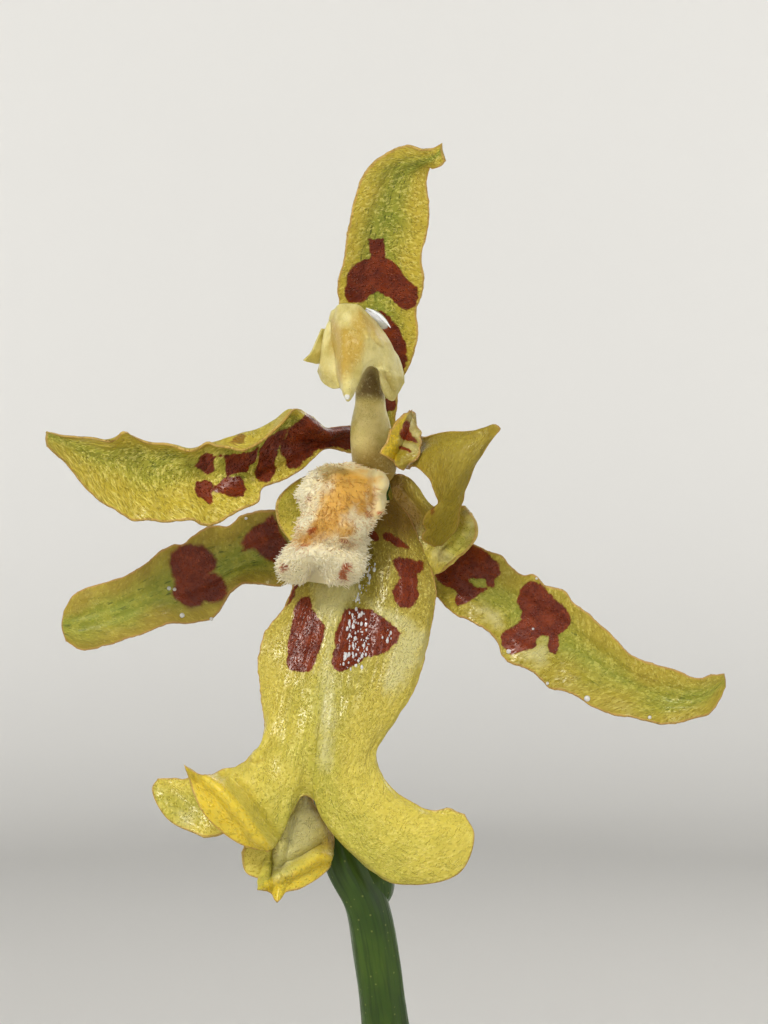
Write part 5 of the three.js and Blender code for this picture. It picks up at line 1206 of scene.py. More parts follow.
def pierce(piece, angle):
    """Cuts a drain hole through the pot's floor."""
    place = (DRAIN_RING * MM * math.cos(angle), DRAIN_RING * MM * math.sin(angle), POT_FLOOR * MM / 2)
    bpy.ops.mesh.primitive_cylinder_add(vertices=40, radius=DRAIN_RADIUS * MM, depth=8 * MM, location=place)
    drill = bpy.context.object
    cut = piece.modifiers.new("drain", "BOOLEAN")
    cut.operation, cut.object, cut.solver = "DIFFERENCE", drill, "EXACT"
    bpy.context.view_layer.objects.active = piece
    bpy.ops.object.modifier_apply(modifier=cut.name)
    bpy.data.objects.remove(drill)


def box_skin(parts):
    """The skin of a box from -1 to 1, its edges split into parts: points, and faces that look outwards."""
    line = np.linspace(-1, 1, parts + 1)
    a, b = np.meshgrid(line, line, indexing="ij")
    sides = [np.roll(np.stack([a, b, np.full_like(a, way)], -1), axis, axis=-1)
             for axis in range(3) for way in (-1, 1)]
    faces = np.concatenate([grid_faces(parts + 1, parts + 1) + i * a.size for i in range(6)])
    points, back = np.unique(np.round(np.concatenate(sides).reshape(-1, 3), 5), axis=0, return_inverse=True)
    faces = back.ravel()[faces]
    corners = points[faces]
    inward = (np.cross(corners[:, 1] - corners[:, 0], corners[:, 2] - corners[:, 0])
              * corners.mean(axis=1)).sum(-1) < 0
    faces[inward] = faces[inward][:, ::-1]
    return points, faces


def turning(tilt, lean, turn):
    """A turn about X, then Y, then Z."""
    (a, b, c), (x, y, z) = np.cos((tilt, lean, turn)), np.sin((tilt, lean, turn))
    about_x = np.array([(1, 0, 0), (0, a, -x), (0, x, a)])
    about_y = np.array([(b, 0, y), (0, 1, 0), (-y, 0, b)])
    about_z = np.array([(c, -z, 0), (z, c, 0), (0, 0, 1)])
    return about_z @ about_y @ about_x


def bark_finish(dark):
    """Fir bark: red-brown layers with grey weathered skins and pale cut fibres."""
    f = Finish("bark", Specular_IOR_Level=0.3)
    chip = f.read("chip")
    layers = f.noise(1.0, 4, f.stretched(f.grain, (0.25, 0.25, 2.6)), rough=0.65)
    fibres = f.noise(1.0, 3, f.stretched(f.grain, (0.5, 5.0, 3.0)))
    broad = f.noise(0.22, 3)
    colour = f.blend(f.step(chip, 0.0, 1.0), dark, tone(128, 78, 46))
    colour = f.blend(f.step(layers, 0.45, 0.62, 0, 0.75), colour, tone(62, 36, 24))
    colour = f.blend(f.step(fibres, 0.56, 0.74, 0, 0.55), colour, tone(170, 118, 76))
    colour = f.blend(f.step(broad + chip * 0.2, 0.6, 0.78, 0, 0.6), colour, tone(118, 104, 92))
    relief = layers + fibres * 0.5
    relief = relief + f.noise(2.6, 3) * 0.4
    return f.done(colour, f.step(broad, 0.3, 0.7, 0.95, 0.72), f.bump(relief, 0.35, 0.9))


def moss_finish(green):
    """Moss strands, yellow-green at their tips."""
    f = Finish("moss", Specular_IOR_Level=0.3, Subsurface_Weight=0.15, Subsurface_Scale=0.0003)
    colour = f.blend(f.step(f.read("up_hair"), 0.1, 0.95), green, tone(158, 168, 66))
    return f.done(colour, f.step(f.read("up_hair"), 0, 1, 0.85, 0.55))


def build_bark(settings):
    draw = np.random.default_rng(11)
    low, top = POT_FLOOR + CLEARANCE, MEDIUM_TOP - 1
    profile = softened([(0.05, low), (inside_radius(low) - 1.2, low), (inside_radius(top) - CLEARANCE, top),
                        (0.05, top + 1)], 1.5, 1.4)
    points, faces = turned(profile, 96)
    points[..., 2] += np.where(points[..., 2] > top - 1, 0.6 * rumple(points, 1.6, 8), 0)
    shape = Shape().add(points, faces, grain=points, chip=0.1)
    skin, skin_faces = box_skin(7)
    reach = inside_radius(MEDIUM_TOP) - 3.2
    for i in range(settings.chip_count):
        layer = i % 3
        radius = reach * math.sqrt((i + 0.5) / settings.chip_count)
        half = np.array((6, 3.5, 2.0)) * draw.uniform(0.62, 1.15, 3) * settings.chip_length / 0.012
        chip = skin / (np.sum(np.abs(skin) ** 5, axis=-1, keepdims=True) ** 0.2) * half
        own = chip + draw.uniform(-400, 400, 3)
        chip *= 1 + 0.05 * np.sign(np.sin(own[:, 2:] * 4.5)) * (np.abs(skin[:, 2:]) < 0.98)
        chip += unit(chip) * (0.75 * rumple(own, 2.7, 5) + 0.3 * rumple(own, 0.9, 6))[:, None]
        tilts = draw.uniform(-0.42, 0.42, 2)
        chip = chip @ turning(*tilts, draw.uniform(0, math.pi)).T
        angle = i * GOLDEN_ANGLE
        rise = MEDIUM_TOP - 1.3 + 1.15 * layer + draw.uniform(-0.4, 0.5)
        chip += (radius * math.cos(angle), radius * math.sin(angle), rise)
        away = np.linalg.norm(chip[:, :2], axis=-1)
        wall = inside_radius(chip[:, 2]) - CLEARANCE
        chip[:, :2] *= np.minimum(1, wall / away)[:, None]
        chip[:, 2] = np.minimum(chip[:, 2], BARK_CEILING)
        shape.add(chip, [skin_faces], grain=own, chip=draw.uniform(0, 1))
    shape.placed("bark_medium", bark_finish(settings.dark), ["bark_medium"], "bark")
    build_moss(settings, draw)


def build_moss(settings, draw):
    """Tufts of moss in the gaps between chips, most of them near the pot's wall."""
    roots = []
    for _ in range(settings.moss_tufts):
        angle, radius = draw.uniform(0, TURN), 23.6 * draw.uniform(0.55, 1) ** 0.5
        middle = np.array((radius * math.cos(angle), radius * math.sin(angle), MEDIUM_TOP + 1.2))
        spread = draw.normal(0, 0.85, (46, 3)) * (1, 1, 0.12)
        roots.append(middle + spread)
    roots = np.concatenate(roots)
    roots = roots[np.linalg.norm(roots[:, :2], axis=-1) < inside_radius(MEDIUM_TOP) - 0.6]
    count = len(roots)
    out = unit(draw.normal(0, 0.45, (count, 3)) + (0, 0, 1))
    shape = Shape()
    add_hairs(shape, roots, out, draw.uniform(0.9, 2.0, count), draw.uniform(0.07, 0.12, count),
              draw.normal(0, 0.35, (count, 3)), sides=3, rings=4)
    shape.placed("moss", moss_finish(settings.moss), slot="bark")


# Plant


def girth_at(share):
    """A pseudobulb's girth at a share of its height."""
    girths = np.array(BULB_PROFILE)[:, 1]
    fine = np.linspace(0, 1, 200)
    line = spline(np.array(BULB_PROFILE), fine)
    return np.interp(share, line[:, 0], line[:, 1], left=girths[0], right=girths[-1])


def round_bulb(bulb, across, through, rise, foot):
    """A point round a pseudobulb: how far across and through it, turned and leaning with it."""
    x, y, height, _, _, turn, lean = BULBS[bulb]
    return np.stack([
        x + across * math.cos(turn) - through * math.sin(turn) + lean[0] * rise * height,
        y + across * math.sin(turn) + through * math.cos(turn) + lean[1] * rise * height,
        foot + rise * height + 0 * across,
    ], -1)


def bulb_finish(green):
    """A plump pseudobulb: green, yellow shoulders, fine furrows, purple-brown freckles, a corky foot."""
    f = Finish("pseudobulb", Specular_IOR_Level=0.45, Subsurface_Weight=0.12, Subsurface_Scale=0.0012)
    up = f.read("up_it")
    broad, fine = f.noise(0.16, 3), f.noise(1.5, 3, rough=0.6)
    lines = f.noise(1.0, 3, f.stretched(f.grain, (2.6, 2.6, 0.12)), rough=0.6)
    colour = f.blend(f.step(broad, 0.35, 0.68), green, tone(158, 176, 84))
    colour = f.blend(f.step(lines, 0.42, 0.66, 0, 0.5), colour, tone(74, 104, 44))
    colour = f.blend(f.step(up, 0.72, 1.0, 0, 0.6), colour, tone(176, 172, 92))
    freckle = f.step(f.cells(1.3, f.stretched(f.grain, (1.4, 1.4, 0.6))) + fine * 0.22, 0.3, 0.2)
    colour = f.blend(freckle * f.step(broad, 0.42, 0.6, 0, 0.75), colour, tone(96, 60, 44))
    cork = f.step(up + fine * 0.12, 0.2, 0.08, 0, 0.8)
    colour = f.blend(cork, colour, tone(142, 124, 78))
    relief = lines + fine * 0.35
    return f.done(colour, f.step(fine, 0.3, 0.7, 0.34, 0.5), f.bump(relief, 0.14, 0.7))


def build_bulbs(settings):
    finish = bulb_finish(settings.bulb)
    sides, rows = 96, 80
    angle = np.arange(sides) / sides * TURN
    for seed, (name, (_, _, height, wide, deep, _, _)) in enumerate(BULBS.items()):
        share = np.linspace(0, 1, rows)[:, None]
        girth = girth_at(share) * (1 + 0.05 * np.cos(5 * angle) * np.sin(np.pi * share))
        wander = 0.9 * np.sin(2.2 * share + seed)
        ridge = np.abs(np.cos(9 * angle + 0.6 * wander + seed)) ** 0.7
        girth = girth * (1 + 0.022 * (ridge - 0.6) * np.sin(np.pi * share) ** 0.6)
        across, through = wide * girth * np.cos(angle), deep * girth * np.sin(angle)
        points = round_bulb(name, across, through, share * np.ones(sides), BULB_FOOT)
        out = unit(points - points.mean(axis=1, keepdims=True))
        points += out * (0.1 * rumple(points, 1.7, seed))[..., None]
        scar = np.exp(-(((share - 0.965) / 0.012) ** 2)) * 0.16
        points += unit(points - points.mean(axis=1, keepdims=True)) * scar[..., None]
        caps = [np.arange(sides)[None, ::-1], np.arange(sides)[None] + (rows - 1) * sides]
        faces = turned_out(points, [grid_faces(rows, sides, closed=True), *caps])
        grain = np.stack([wide * np.cos(angle) + 0 * share, deep * np.sin(angle) + 0 * share,
                          share * height + 0 * angle], -1)
        shape = Shape().add(points, faces, grain=grain, up_it=np.repeat(share.ravel(), sides))
        shape.placed(name, finish, [name], "pseudobulb")


def leaf_finish(green):
    """A leathery leaf: parallel veins, a paler keel, a fine yellow rim and a duller underside."""
    f = Finish("leaf", Specular_IOR_Level=0.5, Coat_Weight=0.25, Coat_Roughness=0.25,
               Subsurface_Weight=0.1, Subsurface_Scale=0.0006)
    heart, rim, under = f.read("heart"), f.read("rim"), f.read("reverse")
    veins = f.noise(1.0, 2, f.stretched(f.grain, (3.6, 1, 0.05)), rough=0.6)
    broad = f.noise(0.12, 4, rough=0.6)
    fine = f.noise(2.0, 3)
    colour = f.blend(f.step(broad, 0.35, 0.7), green, tone(96, 138, 52))
    colour = f.blend(f.step(veins, 0.46, 0.6, 0, 0.5), colour, tone(58, 104, 34))
    colour = f.blend(f.step(heart, 0.93, 0.985, 0, 0.7), colour, tone(150, 176, 92))
    colour = f.blend(f.step(rim, 0.3, 0.05, 0, 0.6), colour, tone(176, 178, 84))
    blemish = f.step(f.cells(0.22), 0.16, 0.06) * f.step(fine, 0.4, 0.6)
    colour = f.blend(blemish, colour, tone(142, 118, 58))
    colour = f.blend(under * 0.55, colour, tone(128, 156, 84))
    relief = veins + fine * 0.15
    return f.done(colour, f.step(broad, 0.3, 0.7, 0.3, 0.42), f.bump(relief, 0.12, 0.6))


def leaf_lines(wide, fold, path, seed):
    """Lines of a leaf folded along its keel, widest past the middle and drawn out to a point."""
    keel = evenly(path, 60)
    ahead = unit(np.gradient(keel, axis=0))
    run_out = keel[-1] - keel[0]
    side = unit(np.array((run_out[1], -run_out[0], 0.0)))
    up = unit(np.cross(side, ahead))
    share = np.linspace(0, 1, 61)
    swell = 0.22 + 0.78 * np.sin(np.pi * (0.1 + 0.62 * share)) ** 1.4
    half = wide * swell * np.minimum(1, ((1.013 - share) * 3.2) ** 0.75)
    angle = fold[0] + (fold[1] - fold[0]) * np.minimum(1, share * 1.8)
    lines = []
    for place in (-1, -0.8, -0.55, -0.3, -0.1, 0, 0.1, 0.3, 0.55, 0.8, 1):
        wave = 0.05 * place ** 2 * np.sin(share * 17 + seed + 1.4 * np.sign(place)) * (1 - share)
        across = place * half * np.cos(angle - 0.25 * abs(place) * angle)
        rise = abs(place) * half * (np.sin(angle) * (1 - 0.12 * abs(place)) + wave)
        lines.append(keel + side * across[:, None] + up * rise[:, None])
    return lines


def build_leaves(settings):
    finish = leaf_finish(settings.leaf)
    thick = settings.leaf_thickness / MM
    for seed, (name, (wide, fold, path)) in enumerate(LEAVES.items()):
        grid = sheet_grid(leaf_lines(wide, fold, path, seed), 100, 28)
        shape = Shape()
        add_sheet(shape, grid, thick, fray=0.04, seed=seed, rim_share=0.5, front=(0, 0, 1),
                  relief=lambda share, along, rim: 0.05 * np.cos(share * 44) * smooth(rim, 0.2, 1.2))
        shape.placed(name, finish, [name], "leaf")


def paper_finish(name, tan):
    """A dry, papery sheath: long fibres, brown streaks and mottled patches."""
    f = Finish(name, Specular_IOR_Level=0.3, Subsurface_Weight=0.2, Subsurface_Scale=0.0005)
    fibres = f.noise(1.0, 3, f.stretched(f.grain, (5.5, 1, 0.22)), rough=0.65)
    broad, fine = f.noise(0.35, 4, rough=0.6), f.noise(3.0, 3)
    colour = f.blend(f.step(fibres, 0.35, 0.65), tan, tone(206, 186, 142))
    colour = f.blend(f.step(broad, 0.5, 0.7, 0, 0.8), colour, tone(132, 100, 60))
    colour = f.blend(f.step(fibres * fine, 0.32, 0.4, 0, 0.5), colour, tone(92, 66, 42))
    colour = f.blend(f.step(f.read("rim"), 0.5, 0.05, 0, 0.5), colour, tone(112, 84, 52))
    return f.done(colour, f.step(broad, 0.3, 0.7, 0.62, 0.85), f.bump(fibres, 0.12, 0.9))


def build_sheaths(settings):
    finish = paper_finish("dry_sheath", settings.sheath)
    for seed, (name, (bulb, facing, share)) in enumerate(SHEATHS.items()):
        wide, deep = BULBS[bulb][3:5]
        lines = []
        for place in np.linspace(-1, 1, 31):
            angle = facing + place * SHEATH_REACH
            spot = np.array((place * 9, seed * 7.3, 1.5))
            torn = 0.1 + 0.09 * rumple(spot, 1.1, seed) + 0.05 * rumple(spot, 0.35, seed + 4)
            rise = np.linspace(0, 1, 14) * share * (1 - 0.3 * place * place - abs(torn))
            girth = 0.8 + 0.28 * np.minimum(1, rise / 0.26) - 0.3 * np.maximum(0, rise - 0.42)
            curl = 0.22 * (rise / share) ** 3 * np.sin(place * 9 + seed)
            across = (wide * girth + SHEATH_STANDOFF + curl) * math.cos(angle)
            through = (deep * girth + SHEATH_STANDOFF + curl) * math.sin(angle)
            lines.append(round_bulb(bulb, across, through, rise, SHEATH_FOOT))
        grid = sheet_grid(lines, 50, 76)
        shape = Shape()
        add_sheet(shape, grid, 0.26, fray=0.06, seed=seed + 30,
                  relief=lambda share, along, rim: 0.05 * np.cos(share * 60 + 2 * np.sin(along * 0.4)))
        shape.placed(name, finish, [name], "dry_sheath")


def stalk_finish(name, green, light, dark, gloss):
    """A fleshy green stalk with fine lengthwise lines, pale dots and a darker flush."""
    f = Finish(name, Specular_IOR_Level=0.3, Coat_Weight=gloss, Coat_Roughness=0.12,
               Subsurface_Weight=0.15, Subsurface_Scale=0.0006)
    broad, fine = f.noise(0.3, 3), f.noise(4.0, 3)
    lines = f.noise(1.0, 2, f.stretched(f.grain, (6, 6, 0.4)), rough=0.6)
    colour = f.blend(f.step(broad, 0.35, 0.65, 0, 0.7), green, light)
    colour = f.blend(f.step(lines, 0.45, 0.65, 0, 0.5), colour, dark)
    colour = f.blend(f.step(f.cells(3.2), 0.16, 0.06, 0, 0.35), colour, tone(158, 168, 82))
    relief = lines + fine * 0.3
    return f.done(colour, f.step(fine, 0.3, 0.7, 0.28, 0.42), f.bump(relief, 0.05, 0.8))


def build_spike(settings):
    shape = Shape()
    nodes = [at for at, _, _ in BRACTS.values()]

    def swollen(angle, along):
        whole = along.max()
        knot = sum(np.exp(-(((along / whole - at) / 0.012) ** 2)) for at in nodes)
        return 1 + 0.1 * knot + 0.025 * np.cos(6 * angle + along * 0.1)

    add_stem(shape, SPIKE_PATH, SPIKE_RADII, 240, 36, relief=swollen)
    finish = stalk_finish("stalk_spike", settings.stalk, tone(118, 138, 58), tone(88, 58, 48), 0.1)
    shape.placed("spike", finish, ["spike"], "stalk")


def build_bracts(settings):
    finish = paper_finish("dry_bract", settings.sheath)
    line = evenly(SPIKE_PATH, 400)
    ahead = unit(np.gradient(line, axis=0))
    for seed, (name, (at, length, wide)) in enumerate(BRACTS.items()):
        foot, along = line[int(at * 400)], ahead[int(at * 400)]
        side = unit(np.cross(along, (0, -1, 0)))
        inward = unit(np.cross(along, side))
        share = np.linspace(0, 1, 24)
        standoff = SPIKE_RADII[0] + CLEARANCE + 0.3
        lines = []
        for place in np.linspace(-1, 1, 9):
            half = wide * np.sqrt(1.06 - share)
            lift = standoff + 0.9 * share ** 2 - 0.45 * place * place * half
            lines.append(foot + np.outer(share * length, along) + np.outer(place * half, side)
                         + np.outer(lift, inward))
        shape = Shape()
        add_sheet(shape, sheet_grid(lines, 50, 32), 0.22, fray=0.05, seed=seed + 50,
                  relief=lambda share, along, rim: 0.04 * np.cos(share * 26))
        shape.placed(name, finish, [name], "dry_sheath")


def root_finish(silver):
    """Roots in silvery velamen, with green showing through, and the brown scarred rhizome."""
    f = Finish("root", Specular_IOR_Level=0.3)
    woody = f.read("woody")
    broad, fine = f.noise(0.6, 3), f.noise(3.4, 4, rough=0.65)
    colour = f.blend(f.step(broad, 0.42, 0.68, 0, 0.75), silver, tone(132, 146, 92))
    colour = f.blend(f.step(fine, 0.52, 0.7, 0, 0.5), colour, tone(224, 220, 200))
    colour = f.blend(f.step(f.cells(1.2), 0.12, 0.05, 0, 0.6), colour, tone(116, 92, 62))
    rings = f.noise(1.0, 3, f.stretched(f.grain, (0.3, 0.3, 1.7)))
    wood = f.blend(f.step(rings, 0.4, 0.6), tone(104, 76, 48), tone(152, 128, 84))
    colour = f.blend(woody, colour, wood)
    return f.done(colour, f.step(broad, 0.3, 0.7, 0.7, 0.9), f.bump(fine + rings, 0.12, 0.9))


def build_roots(settings):
    shape = Shape()
    add_stem(shape, RHIZOME_PATH, (RHIZOME_RADIUS, RHIZOME_RADIUS), 90, 40, woody=1.0,
             relief=lambda angle, along: (1 - 0.05 + 0.05 * np.abs(np.sin(along * 1.1))
                                          + 0.02 * np.cos(7 * angle)))
    for seed, path in enumerate(ROOTS):
        add_stem(shape, path, ROOT_RADII, 120, 26, woody=0.0,
                 relief=lambda angle, along: 1 + 0.04 * np.sin(along * 0.9 + seed)
                 + 0.03 * np.sin(along * 2.3 + 2 * np.cos(angle + seed)))
    shape.placed("rhizome_and_roots", root_finish(settings.root), ["rhizome_and_roots"], "root")


def build_pedicel(settings):
    shape = Shape()
    for path, radii, steps in ((PEDICEL_AXIS, PEDICEL_RADII, 260), (OVARY_AXIS, OVARY_RADII, 60)):
        add_stem(shape, sight(path), radii, steps, 44,
                 relief=lambda angle, along: 1 - 0.03 + 0.03 * np.cos(6 * angle + along * 0.06)
                 + 0.015 * np.sin(along * 1.7 + 2 * angle))
    finish = stalk_finish("stalk_pedicel", settings.pedicel, tone(70, 96, 20), tone(28, 50, 8), 0.12)
    shape.placed("pedicel", finish, ["pedicel"], "stalk")


# Bloom


def blade_finish(name, look, kinds, yellow=None, green_share=0.6, soft_spots=0.0, dash=(12, 1, 2.2),
                 sparkle=1.0, foot=None):
    """Flesh of a tepal or lip: sparkling cells, partly painted glints, green dashes down it, ragged red-brown
    spots, a tan rim, and painted shade towards its foot and in its hollows.
    """
    f = Finish(name, Specular_IOR_Level=0.28, Subsurface_Weight=0.2, Subsurface_Scale=0.0004)
    f.shader.inputs["Subsurface Radius"].default_value = (1.0, 0.8, 0.2)
    yellow = yellow or look.yellow
    heart, rim, under = f.read("heart"), f.read("rim"), f.read("reverse")
    bright = f.step(f.cells(13.0), 0.5, 0.1)
    jitter = f.each_cell(13.0)
    broad, mid, fine = f.noise(0.55, 3), f.noise(2.2, 3, rough=0.6), f.noise(7.0, 3, rough=0.7)
    green = f.step(heart + (broad - 0.5) * 1.4, 0.2, 0.95, 0, green_share)
    colour = f.blend(green, yellow, look.green)
    colour = f.blend(f.step(mid, 0.4, 0.7, 0, 0.25), colour, tone(206, 186, 70))
    dashes = f.step(f.noise(1.0, 2, f.stretched(f.grain, dash)), 0.58, 0.68)
    dashes = dashes * (f.step(heart, 0.1, 0.6) * f.step(broad, 0.35, 0.6))
    colour = f.blend(dashes * green_share, colour, tone(70, 84, 22))
    # Painted shade: darker towards the foot of the sheet, fading out by the share given second in foot
    if foot:
        shade = f.read("up_it") + (broad - 0.5) * 0.15
        colour = f.blend(f.step(shade, foot[1], 0, 0, 0.9), colour, foot[0])
    # Pale and dark flecks, one per cell: the cells' grain, the pale ones partly painted glints
    colour = f.blend(f.step(jitter, 0.6, 1.0) * (0.45 * sparkle), colour, tone(240, 228, 130))
    colour = f.blend(f.step(jitter, 0.4, 0.0) * (0.1 * sparkle), colour, tone(120, 112, 28))
    # The flap's own deeper yellow on the right petal; on the lip, partly painted light on faces turned to the
    # light
    if "yellow" in kinds:
        grains = f.step(jitter, 0.0, 1.0, 0.35, 0.8)
        colour = f.blend(f.step(f.read("yellow"), -0.05, 0.05) * grains, colour, tone(228, 196, 44))
    # Painted shade, olive-brown, inside these outlines: over the lip's base, partly the tissue's own colour,
    # and in the hollow of its folded foot
    if "amber" in kinds:
        amber = f.step(f.read("amber"), -0.35, 0.45, 0, 0.85)
        colour = f.blend(amber, colour, tone(124, 92, 30))
    if "pale" in kinds:
        pale = f.read("pale") + (mid - 0.5) * 0.8
        colour = f.blend(f.step(pale, -0.25, 0.3, 0, 0.7), colour, tone(206, 200, 142))
    ragged = (f.noise(3.2, 2) - 0.5) * 0.2 + (fine - 0.5) * 0.16
    if "spot" in kinds:
        spot = f.step(f.read("spot") + ragged, -0.035 - soft_spots, 0.035 + soft_spots)
        red = f.blend(f.step(mid, 0.35, 0.7), look.spot, tone(126, 50, 18))
        red = f.blend(f.step(fine, 0.58, 0.74, 0, 0.5), red, tone(62, 20, 10))
        red = f.blend(f.step(jitter, 0.7, 1.0) * 0.22, red, tone(170, 88, 50))
        colour = f.blend(spot, colour, red)
    edge = f.step(rim + (fine - 0.5) * 0.08, 0.08, 0.02, 0, 0.6)
    colour = f.blend(edge, colour, look.rim)
    colour = f.blend(under * 0.35, colour, yellow)
    lines = f.noise(1.0, 2, f.stretched(f.grain, (4.5, 1, 0.35)), rough=0.6)
    relief = bright * sparkle + lines * 0.25
    rough = f.step(jitter, 0.0, 1.0, 0.5, 0.22)
    if "wet" in kinds:
        wet = f.step(f.read("wet") + ragged, -0.1, 0.1)
        relief = relief + wet * (f.cells(5.0) * 2.4)
        rough = rough - (rough - 0.14) * wet
    return f.done(colour, rough, f.bump(relief, 0.04, 0.9))


def veined(share, along, rim):
    """Low lengthwise veins that fade towards the rim."""
    return 0.022 * np.cos(share * 16) * smooth(rim, 0.1, 0.7)


SKINS = {}


def build_tepal(name, lines, rows, columns, finish, marks=None, seed=1, fray=0.035, thick=0.22):
    """A tepal over its lines; its front skin is kept for the dew that lies on it."""
    shape = Shape()
    grid = sheet_grid([sight(line) for line in lines], rows, columns)
    SKINS[name] = add_sheet(shape, grid, thick, fray, veined, marks, seed=seed, ruffle=0.08)
    shape.placed(name, finish, [name], "tepal")


def build_sepals(look):
    thick = look.blade_thickness / MM
    build_tepal("dorsal_sepal", DORSAL_SEPAL, 140, 42,
                blade_finish("tepal_dorsal", look, ("spot",), green_share=0.85),
                MARKS["dorsal_sepal"], 11, thick=thick)
    build_tepal("lateral_sepal_left", LEFT_LATERAL_SEPAL, 140, 46,
                blade_finish("tepal_left_sepal", look, ("spot",), tone(148, 130, 40), 0.8, 0.05,
                             sparkle=0.35),
                MARKS["sepal_left"], 12, thick=thick)
    build_tepal("lateral_sepal_right", RIGHT_LATERAL_SEPAL, 150, 46,
                blade_finish("tepal_right_sepal", look, ("spot", "pale"), tone(160, 144, 44), 0.7,
                             sparkle=0.6),
                MARKS["sepal_right"], 13, thick=thick)


def build_petals(look):
    thick = look.blade_thickness / MM
    build_tepal("petal_left", LEFT_PETAL, 140, 56,
                blade_finish("tepal_left_petal", look, ("spot",), green_share=0.7, sparkle=1.2),
                MARKS["petal_left"], 14, thick=thick)
    shape = Shape()
    grid = sheet_grid([sight(line) for line in RIGHT_PETAL], 120, 60)
    grid = folded(grid, FOLDS["petal"])
    add_sheet(shape, grid, thick, 0.015, None, MARKS["petal_right"], seed=15, ruffle=0.02, front=(0, 1, 0))
    flap = sheet_grid([sight(line) for line in RIGHT_PETAL_FLAP], 64, 64)
    flap = folded(flap, FOLDS["flap"])
    add_sheet(shape, flap, thick, 0.06, None, MARKS["petal_right_flap"], True, 16, ruffle=0.1)
    # The right petal's olive yellow is its reverse side, darkened partly as painted shade, and its foot
    # colour is painted shade towards its bottom
    finish = blade_finish("tepal_right_petal", look, ("spot", "yellow", "pale"), tone(146, 126, 36), 0.1,
                          sparkle=0.45, foot=(tone(112, 84, 26), 0.45))
    shape.placed("petal_right", finish, ["petal_right"], "tepal")


def keeled(share, along, rim):
    """The lip's low middle keels and its fanned veins."""
    keels = np.exp(-(((share - 0.12) / 0.07) ** 2)) + np.exp(-(((share + 0.12) / 0.07) ** 2))
    return (0.06 * keels * smooth(along, 1.5, 3) * smooth(along, 7, 4.5)
            + 0.02 * rumple(np.stack([share * 22, 0 * along, along * 0.9], -1), 1.0, 27)
            * smooth(rim, 0.1, 0.8))


def build_lip(look):
    thick = look.blade_thickness / MM * 1.2
    shape = Shape()
    grid = folded(sheet_grid([sight(line) for line in LIP_BLADE], 150, 160), FOLDS["lip"])
    SKINS["lip"] = add_sheet(shape, grid, thick, 0.05, keeled, MARKS["lip"], seed=21, ruffle=0.12)
    lobes = ((LIP_BACK_LOBE, 52, 42, "lip_back"), (LIP_RIGHT_LOBE, 68, 68, "lip_ear"),
             (LIP_LEFT_LOBE, 38, 38, None), (LIP_FOLD, 68, 92, "lip_fold"))
    for seed, (lines, rows, columns, name) in enumerate(lobes):
        lobe = folded(sheet_grid([sight(line) for line in lines], rows, columns), FOLDS.get(name, []))
        add_sheet(shape, lobe, thick, 0.04, None, MARKS.get(name), seed=22 + seed, ruffle=0.08)
    # The lip's foot colour is painted shade, darkest at its foot by the callus and fading down the lip
    finish = blade_finish("lip_flesh", look, ("spot", "pale", "amber", "wet", "yellow"), look.lip, 0.4,
                          dash=(15, 1, 1.8), sparkle=0.9, foot=(tone(134, 114, 38), 0.8))
    shape.placed("lip", finish, ["lip"], "lip")


def column_finish(look):
    """Waxy ivory flesh, yellow over the hood's ridges, with painted olive-brown shade in the hollow under it
    and at its foot.
    """
    f = Finish("column_flesh", Specular_IOR_Level=0.35, Subsurface_Weight=0.4, Subsurface_Scale=0.0007)
    f.shader.inputs["Subsurface Radius"].default_value = (1.0, 0.85, 0.45)
    broad, fine = f.noise(0.9, 3), f.noise(6.0, 3, rough=0.65)
    colour = f.blend(f.step(broad, 0.35, 0.65), look.column, tone(196, 180, 100))
    yellow = f.step(f.read("yellow") + (broad - 0.5) * 0.6, -0.2, 0.2, 0, 0.8)
    colour = f.blend(yellow, colour, tone(190, 154, 54))
    # Painted shade, olive-brown, at the foot of the column
    colour = f.blend(f.step(f.read("amber"), -0.5, 0.4, 0, 0.8), colour, tone(160, 128, 46))
    # Painted shade, dark olive-brown, in the hollow under the hood
    colour = f.blend(f.step(f.read("cavity"), -0.14, 0.3, 0, 0.9), colour, tone(98, 74, 26))
    colour = f.blend(f.step(f.each_cell(14.0), 0.75, 1.0, 0, 0.3), colour, tone(236, 224, 160))
    relief = f.step(f.cells(14.0), 0.5, 0.1) + fine * 0.6
    return f.done(colour, f.step(fine, 0.3, 0.7, 0.3, 0.45), f.bump(relief, 0.025, 0.8))


def build_column(look):
    shape = Shape()
    marks = MARKS["column"]
    shaft = Shape()
    points, _ = add_stem(shaft, spline(sight(COLUMN_AXIS), np.linspace(0, 1, 40)),
                         spline(np.array(COLUMN_RADII)[:, None], np.linspace(0, 1, 40))[:, 0], 120, 56,
                         relief=lambda angle, along: (1 + 0.03 * np.cos(2 * angle)
                                                      + 0.01 * np.sin(along * 2.3)))
    shape.add(points, shaft.faces, grain=shaft.values[0][1]["grain"],
              **marked(points, {k: marks[k] for k in ("cavity", "amber")}))
    hood = folded(sheet_grid([sight(line) for line in HOOD], 90, 130), FOLDS["hood"])
    SKINS["column"] = add_sheet(shape, hood, 0.26, 0.025, None, {"yellow": marks["yellow"]}, seed=31,
                                ruffle=0.05)
    wing = sheet_grid([sight(line) for line in WING], 44, 50)
    add_sheet(shape, wing, 0.16, 0.03, None, seed=32, ruffle=0.05)
    shape.placed("column", column_finish(look), ["column"], "column")


